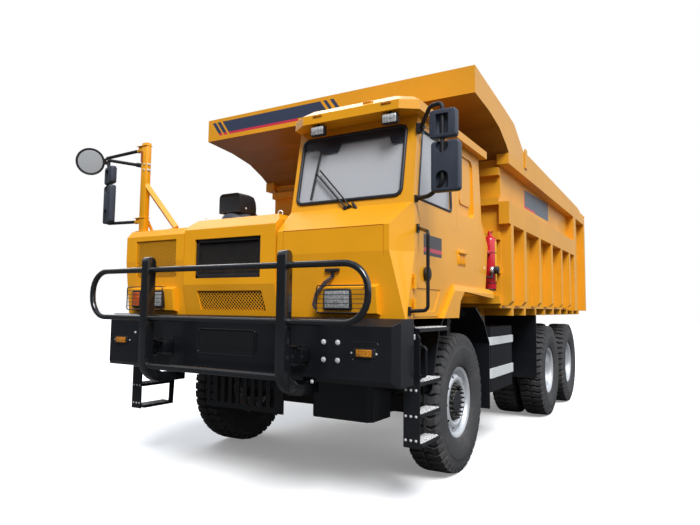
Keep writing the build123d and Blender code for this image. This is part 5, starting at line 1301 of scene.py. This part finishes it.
class TRUCK_OT_cab_trim(bpy.types.Operator):
    """Windscreen gasket, wiper and visor band, door cover, side latch, air intake and extinguisher"""
    bl_idname = "truck.cab_trim"
    bl_label = "Cab trim"

    def execute(self, context):
        corners = [on_screen(0.45, 2.57), on_screen(1.50, 2.57), on_screen(1.50, 3.19), on_screen(0.45, 3.19)]
        seal = bar("screen_seal", corners, 0.016, 0.06, closed=True)
        dress(seal, "gasket")
        outline = ((0.46, 3.195), (1.49, 3.195), (1.49, 3.05), (1.37, 3.04), (1.345, 3.115), (0.86, 3.115),
                   (0.83, 3.04), (0.66, 3.04), (0.60, 3.09), (0.46, 3.10))
        visor = wire("visor", [on_screen(x, z) for x, z in outline], closed=True)
        editing(visor)
        bpy.ops.mesh.edge_face_add()
        bpy.ops.mesh.extrude_region_move(TRANSFORM_OT_translate={"value": (0, 0.003, 0)})
        dress(tidy_mesh(visor), "gasket")
        self.wiper()
        self.door_trim()
        self.intake()
        self.extinguisher()
        return {"FINISHED"}

    def wiper(self):
        """Two parallel arms and a blade across the middle of the screen."""
        lift = Vector((0, -0.022, 0))

        def point(x, z):
            return Vector(on_screen(x, z)) + lift

        parts = [bar("arm", [point(0.985, 2.50), point(0.640, 2.845)], 0.008, around=2),
                 bar("arm", [point(1.024, 2.515), point(0.675, 2.872)], 0.008, around=2),
                 bar("blade", [point(0.614, 2.600), point(0.638, 2.840), point(0.664, 3.060)], 0.0105, around=2),
                 bar("yoke", [point(0.626, 2.70), point(0.645, 2.84) + lift * 0.7, point(0.655, 2.96)],
                     0.007, around=2),
                 disc("spindle", (0.985, -1.436, 2.495), 0.020, 0.036, "Y", 20, 0.004),
                 disc("spindle", (1.024, -1.434, 2.508), 0.014, 0.030, "Y", 20, 0.003),
                 bar("washer", [(1.095, -1.432, 2.475), (1.055, -1.440, 2.535)], 0.013, around=2)]
        dress(joined("wiper", parts), "black_plastic")

    def door_trim(self):
        """The round cover and window seal on the door, and the ribbed latch behind it."""
        x = CAB_SIDE_X
        cover = disc("cover", (x + 0.016, -1.168, 1.925), 0.062, 0.036, "X", 40, 0.014)
        dress(smooth(cover, 40), "black_plastic", "door")
        latch = [box("latch_plate", (x - 0.003, x + 0.006), (-0.397, -0.180), (2.055, 2.208), 0.003),
                 box("latch_grip", (x + 0.004, x + 0.030), (-0.385, -0.192), (2.165, 2.197), 0.008)]
        latch += [box("rib", (x + 0.004, x + 0.016), spread(y, 0.008), (2.066, 2.155), 0.004)
                  for y in (-0.37, -0.33, -0.289, -0.247, -0.207)]
        dress(smooth(joined("side_latch", latch), 40), "body_paint")
        outline = [(-1.32, 2.545), (-0.545, 2.545), (-0.56, 3.16), (-1.195, 3.16)]
        seal = bar("door_seal", [(x - side_lean(z) - 0.002, y, z) for y, z in outline], 0.012, 0.05, closed=True)
        dress(seal, "gasket", "door")

    def intake(self):
        """The air intake on the hood: a turned bowl, its hooded mouth and the duct."""
        x, y, z = *INTAKE_AT, HOOD_TOP_Z
        bowl = lathe("bowl", [(0.001, 0.0), (0.001, 0.1845), (0.030, 0.182), (0.078, 0.158), (0.100, 0.128),
                              (0.1145, 0.100), (0.1145, 0.0)], 48)
        bowl.data.transform(moved(x, y, z) @ around("Y", -math.pi / 2))
        outline = [(y - 0.139, z + 0.101), (y - 0.139, z + 0.304), (y + 0.010, z + 0.304), (y + 0.075, z + 0.280),
                   (y + 0.108, z + 0.235), (y + 0.119, z + 0.180), (y + 0.119, z + 0.118), (y + 0.020, z + 0.101)]
        mouth = plate("mouth", outline, "X", spread(x, 0.141))
        editing(mouth, "DESELECT")
        pick(mouth, "EDGE", lambda middle: middle.z > z + 0.303 and abs(middle.x - x) > 0.14)
        bpy.ops.mesh.bevel(offset=0.045, segments=3)
        pick(mouth, "FACE", lambda middle: middle.y < y - 0.1385)
        bpy.ops.mesh.inset(thickness=0.014)
        bpy.ops.mesh.extrude_region_move(TRANSFORM_OT_translate={"value": (0, 0.012, 0)})
        clear_selection()
        rounded(mouth, 0.005)
        duct = bar("duct", [(x, y, z + 0.060), (x + 0.24, y + 0.62, z + 0.061)], 0.059, around=5)
        collar = disc("collar", (x + 0.050, y + 0.130, z + 0.062), 0.090, 0.060, "Y", 36, 0.010)
        painted(smooth(mouth, 35), "black_plastic")
        pieces = [mouth] + [painted(smooth(part, 45), "housing_plastic") for part in (bowl, collar)]
        pieces.append(painted(duct, "black_plastic"))
        pieces.append(painted(bolt((x + 0.1415, y - 0.045, z + 0.150), "X", 0.008, 0.006), "bolt_zinc"))
        dress(joined("intake_bowl", pieces), None, replaces=["air_intake"])

    def extinguisher(self):
        """The bottle on the cab's rear corner with its label, bands and foot, and the work lamp beside it."""
        x, y = BOTTLE_AT
        bottle = lathe("bottle", [(1.861, 0.0), (1.861, 0.066), (1.872, 0.0715), (2.420, 0.0715), (2.445, 0.060),
                                  (2.460, 0.030), (2.519, 0.021), (2.519, 0.0)], 36)
        bottle.data.transform(moved(x, y, 0) @ around("Y", -math.pi / 2))
        clip = box("clip", spread(x, 0.029), (0.555, y - 0.04), (2.251, 2.289), 0.003)
        dress(smooth(joined("extinguisher", [bottle, clip]), 45), "red_paint",
              replaces=["fire_extinguisher"])
        label = box("bottle_label", (x + 0.060, x + 0.0735), spread(y, 0.022), (1.95, 2.40), 0.006)
        dress(label, "label_yellow")
        grips = [bar("band", [(x + 0.0735 * math.cos(t), y + 0.0735 * math.sin(t), z)
                              for t in [math.pi * k / 12 for k in range(24)]],
                     0.004, closed=True, around=1) for z in (1.93, 2.27)]
        grips.append(bar("lever", [(x, y, 2.500), (x + 0.045, y - 0.020, 2.512)], 0.006, around=1))
        lamp = [disc("lamp_head", (1.697, 0.640, 2.070), 0.043, 0.052, "X", 28, 0.012),
                bar("lamp_stay", [(1.655, 0.622, 2.040), (1.655, 0.600, 1.985), (1.612, 0.545, 1.985)], 0.010,
                    0.015),
                box("bottle_foot", spread(x, 0.055), (y - 0.175, y + 0.060), (1.845, 1.861), 0.004)]
        dress(joined("bottle_fixings", grips + lamp), "black_plastic")
        shine = disc("lamp_back", (1.655, 0.624, 2.070), 0.039, 0.040, "X", 28, 0.012)
        dress(shine, "lamp")


# Seat

class TRUCK_OT_seat(bpy.types.Operator):
    """The driver's seat: cushion and back as padded cloth on a plain base"""
    bl_idname = "truck.seat"
    bl_label = "Seat"

    def execute(self, context):
        base = box("seat_base", (0.83, 1.17), (-0.13, 0.09), (1.851, 2.09), 0.01)
        dress(base, "dash_plastic")
        cushion = pad("seat_cushion", (0.785, 1.215), (-0.425, 0.105), (2.092, 2.208))
        foot, lean = 2.215, 0.135
        back = pad("seat_back", (0.795, 1.205), (0.055, 0.150), (foot, 2.885))
        for vertex in back.data.vertices:
            vertex.co.y += (vertex.co.z - foot) * lean
        dress(cushion, "seat_fabric", replaces=["driver_seat"])
        dress(back, "seat_fabric")
        return {"FINISHED"}


def pad(name, x, y, z):
    """A cushion swelled by the cloth simulation from a slightly smaller block."""
    inset = 0.018
    piece = box(name, (x[0] + inset, x[1] - inset), (y[0] + inset, y[1] - inset), (z[0] + inset, z[1] - inset),
                0.02)
    voxel = 0.008
    modify(piece, "REMESH", mode="VOXEL", voxel_size=voxel)
    swell(piece, 0.016)
    modify(piece, "SUBSURF", levels=1, render_levels=1)
    return smooth(piece, 60)


def swell(piece, cap):
    """Runs the cloth simulation under pressure and keeps each point's move within a cap."""
    rest = [vertex.co.copy() for vertex in piece.data.vertices]
    take(piece)
    cloth = piece.modifiers.new("Cloth", "CLOTH")
    cloth.settings.use_pressure = True
    cloth.settings.uniform_pressure_force = 4.0
    cloth.settings.effector_weights.gravity = 0.0
    for step in range(1, 21):
        bpy.context.scene.frame_set(step)
    bpy.ops.object.modifier_apply(modifier=cloth.name)
    bpy.context.scene.frame_set(1)
    for vertex, start in zip(piece.data.vertices, rest):
        move = vertex.co - start
        if move.length > cap:
            vertex.co = start + move.normalized() * cap


# Hoist

class TRUCK_OT_hoist(bpy.types.Operator):
    """The telescopic hoist: barrel, two stages and rod, each on its own body"""
    bl_idname = "truck.hoist"
    bl_label = "Hoist"

    def execute(self, context):
        eye, length, rise = 0.060, 1.690, 0.040
        radii = (0.120, 0.105, 0.090, 0.075)
        names = ("hoist_barrel", "hoist_stage_1", "hoist_stage_2", "hoist_rod")
        for index, (radius, body) in enumerate(zip(radii, names)):
            low = HOIST_FOOT_Z + eye + 0.020 * index
            high = HOIST_FOOT_Z + eye + length + rise * index
            outline = [(low, 0.0), (low, radius - 0.002), (low + 0.004, radius - 0.0005),
                       (high - 0.030, radius - 0.0005), (high - 0.028, radius), (high - 0.002, radius),
                       (high, radius - 0.002)]
            if index < 3:
                bore = radii[index + 1] + 0.0008
                outline += [(high, bore), (low + 0.019, bore), (low + 0.019, 0.0)]
            else:
                outline += [(high, 0.0)]
            tube = lathe(body + "_tube", outline, 48)
            tube.data.transform(moved(0, HOIST_Y, 0) @ around("Y", -math.pi / 2))
            parts = [tube]
            if index == 0:
                parts.append(disc("foot", (0, HOIST_Y, HOIST_FOOT_Z), eye, 2 * eye, "X", 32, 0.003))
                parts.append(box("neck", (-eye + 0.002, eye - 0.002), spread(HOIST_Y, 0.048),
                                 (HOIST_FOOT_Z, low + 0.005)))
            if index == 3:
                parts.append(disc("eye", (0, HOIST_Y, HOIST_EYE_Z), eye, 0.075, "X", 32, 0.003))
                parts.append(bar("neck", [(0, HOIST_Y, high - 0.01), (0, HOIST_Y, HOIST_EYE_Z)], 0.029))
            dress(smooth(joined(body + "_shown", parts), 40), "hoist_steel", body, [body])
        return {"FINISHED"}


# Finishes of the CAD nodes

class TRUCK_OT_finishes(bpy.types.Operator):
    """Gives each CAD node that stays its finish"""
    bl_idname = "truck.finishes"
    bl_label = "Finishes"

    def execute(self, context):
        for row in frame["record"]["subparts"]:
            name = row["node"]
            painted(frame["nodes"][name], NODE_FINISH.get(name, row["material_slot"]))
        return {"FINISHED"}


# Stage

# The camera's place, its yaw, pitch and roll, and its lens
CAMERA_AT = (3.517, -5.637, 1.629)
CAMERA_TURN = (0.5336, 0.0798, 0.0112)
LENS_MM = 29.42
SENSOR_MM = 36


class TRUCK_OT_stage(bpy.types.Operator):
    """The pale floor, the plain lights and the camera at the photograph's angle"""
    bl_idname = "truck.stage"
    bl_label = "Stage"

    def execute(self, context):
        stage = context.scene.truck_stage
        self.floor(stage)
        self.world(stage)
        clear_selection()
        # Lights: strength, spread in degrees, and the way towards each
        for strength, spread, way in ((stage.sun, 25, (0.42, -0.52, 0.74)), (stage.fill, 40, (-0.62, 0.55, 0.55))):
            turn = Vector(way).to_track_quat("Z", "Y").to_euler()
            bpy.ops.object.light_add(type="SUN", rotation=turn)
            context.active_object.data.energy = strength
            context.active_object.data.angle = math.radians(spread)
        self.camera()
        context.scene.view_settings.view_transform = "Standard"
        return {"FINISHED"}

    def camera(self):
        """The camera worked out from the photograph's straight edges."""
        place, (yaw, pitch, roll) = CENTRE + Vector(CAMERA_AT), CAMERA_TURN
        forward = Vector((-math.sin(yaw) * math.cos(pitch), math.cos(yaw) * math.cos(pitch), math.sin(pitch)))
        level = Vector((math.cos(yaw), math.sin(yaw), 0))
        upright = level.cross(forward)
        right = math.cos(roll) * level + math.sin(roll) * upright
        up = -math.sin(roll) * level + math.cos(roll) * upright
        clear_selection()
        bpy.ops.object.camera_add(location=place)
        camera = bpy.context.active_object
        turn = Matrix((right, up, -forward)).transposed().to_4x4()
        camera.matrix_world = Matrix.Translation(place) @ turn
        camera.data.lens = LENS_MM
        camera.data.sensor_width = SENSOR_MM
        bpy.context.scene.camera = camera

    def floor(self, stage):
        clear_selection()
        bpy.ops.mesh.primitive_plane_add(size=120)
        floor = settle("floor")
        finish = Finish("floor")
        seen = Signal(finish, finish.add("ShaderNodeLightPath").outputs["Is Camera Ray"])
        tint = finish.mix(seen, stage.floor_colour, (0.92, 0.92, 0.92))
        finish.feed(Base_Color=tint, Roughness=0.9, Emission_Color=finish.mix(seen, (0, 0, 0), (1, 1, 1)),
                    Emission_Strength=stage.floor_glow, Specular_IOR_Level=0.0)
        floor.data.materials.append(finish.material)

    def world(self, stage):
        """A soft sky, dark at the horizon and brightest on the cab side; the camera and glass see plain white."""
        world = bpy.data.worlds.new("studio")
        bpy.context.scene.world = world
        sky = Graph(world)
        x, y, z = sky.split(sky.add("ShaderNodeTexCoord").outputs["Generated"])
        rise = sky.step(z + y * 0.3, 0.05, 0.5)
        strength = (rise * 0.85 + sky.step(x, 0.2, 0.95) * sky.step(z, 0.0, 0.2) * 1.2 + 0.12) * stage.sky
        tone = sky.mix(sky.step(z, 0.55, 0.95), (0.95, 0.97, 1.0), (0.62, 0.78, 1.0))
        lit = sky.add("ShaderNodeBackground", sockets={"Color": tone, "Strength": strength})
        seen = sky.add("ShaderNodeBackground", sockets={"Color": (1.0, 1.0, 1.0, 1.0), "Strength": 1.0})
        path = sky.add("ShaderNodeLightPath")
        direct = Signal(sky, path.outputs["Is Camera Ray"])
        direct = direct.math("MAXIMUM", direct, Signal(sky, path.outputs["Is Transmission Ray"]))
        mixed = sky.add("ShaderNodeMixShader", sockets={0: direct, 1: lit.outputs[0], 2: seen.outputs[0]})
        sky.add("ShaderNodeOutputWorld", sockets={"Surface": mixed.outputs[0]})


# Settings, panel and registration

class TruckWheels(bpy.types.PropertyGroup):
    lug_pitches: IntProperty(name="Lug pitches", description="How many times the tread repeats", default=44, min=20)
    hand_holes: IntProperty(name="Hand holes", description="Holes round the front disc", default=10, min=4)
    nuts: IntProperty(name="Wheel nuts", description="Nuts on each hub", default=20, min=6)


class TruckGuard(bpy.types.PropertyGroup):
    tube_radius: FloatProperty(name="Tube radius", description="Radius of the bull bar's loop", default=0.0265,
                               unit="LENGTH")
    bend: FloatProperty(name="Bend", description="Radius of the loop's corners", default=0.2, unit="LENGTH")


class TruckFront(bpy.types.PropertyGroup):
    mesh_strand: FloatProperty(name="Mesh strand", description="Width of the grille's strands", default=0.005,
                               unit="LENGTH")
    vent_pitch: FloatProperty(name="Vent pitch", description="From one vent hole to the next", default=0.0255,
                              unit="LENGTH")
    vent_hole: FloatProperty(name="Vent hole", description="Width of one vent hole", default=0.0205, unit="LENGTH")


class TruckTones(bpy.types.PropertyGroup):
    cab_yellow: FloatVectorProperty(name="Cab yellow", description="Paint of the cab and hood", subtype="COLOR",
                                    default=(0.87, 0.375, 0.006))
    box_yellow: FloatVectorProperty(name="Body yellow", description="Paint of the dump body", subtype="COLOR",
                                    default=(0.80, 0.355, 0.012))
    black: FloatVectorProperty(name="Black", description="Paint of the bumper and steps", subtype="COLOR",
                               default=(0.009, 0.010, 0.013))


class TruckStage(bpy.types.PropertyGroup):
    sun: FloatProperty(name="Sun", description="Strength of the key light", default=3.3, min=0)
    fill: FloatProperty(name="Fill", description="Strength of the light from behind", default=1.0, min=0)
    sky: FloatProperty(name="Sky", description="Strength of the even light", default=0.72, min=0)
    floor_glow: FloatProperty(name="Floor glow", description="How much the seen floor is lifted", default=0.22,
                              min=0)
    floor_colour: FloatVectorProperty(name="Floor", description="Colour of the floor", subtype="COLOR",
                                      default=(0.10, 0.10, 0.10))


STEPS = (TRUCK_OT_finishes, TRUCK_OT_wheels, TRUCK_OT_guard, TRUCK_OT_fixings, TRUCK_OT_grille, TRUCK_OT_lamps,
         TRUCK_OT_mirrors, TRUCK_OT_cab_trim, TRUCK_OT_seat, TRUCK_OT_hoist, TRUCK_OT_stage)
GROUPS = {"truck_wheels": TruckWheels, "truck_guard": TruckGuard, "truck_front": TruckFront,
          "truck_tones": TruckTones, "truck_stage": TruckStage}


class TRUCK_PT_pieces(bpy.types.Panel):
    """Lists the truck's pieces in the order in which they are made"""
    bl_idname = "TRUCK_PT_pieces"
    bl_label = "Mining dump truck"
    bl_space_type = "VIEW_3D"
    bl_region_type = "UI"
    bl_category = "Truck"

    def draw(self, context):
        for step in STEPS:
            self.layout.operator(step.bl_idname)
        for name, group in GROUPS.items():
            for key in group.__annotations__:
                self.layout.prop(getattr(context.scene, name), key)


def register():
    for group in GROUPS.values():
        bpy.utils.register_class(group)
    for step in STEPS:
        bpy.utils.register_class(step)
    bpy.utils.register_class(TRUCK_PT_pieces)
    for name, group in GROUPS.items():
        setattr(bpy.types.Scene, name, PointerProperty(type=group))


def unregister():
    for name in GROUPS:
        delattr(bpy.types.Scene, name)
    for entry in (TRUCK_PT_pieces, *reversed(STEPS), *GROUPS.values()):
        bpy.utils.unregister_class(entry)


def main():
    register()
    for step in STEPS:
        group, name = step.bl_idname.split(".")
        getattr(getattr(bpy.ops, group), name)()
    clear_selection()


if __name__ == "__main__":
    main()
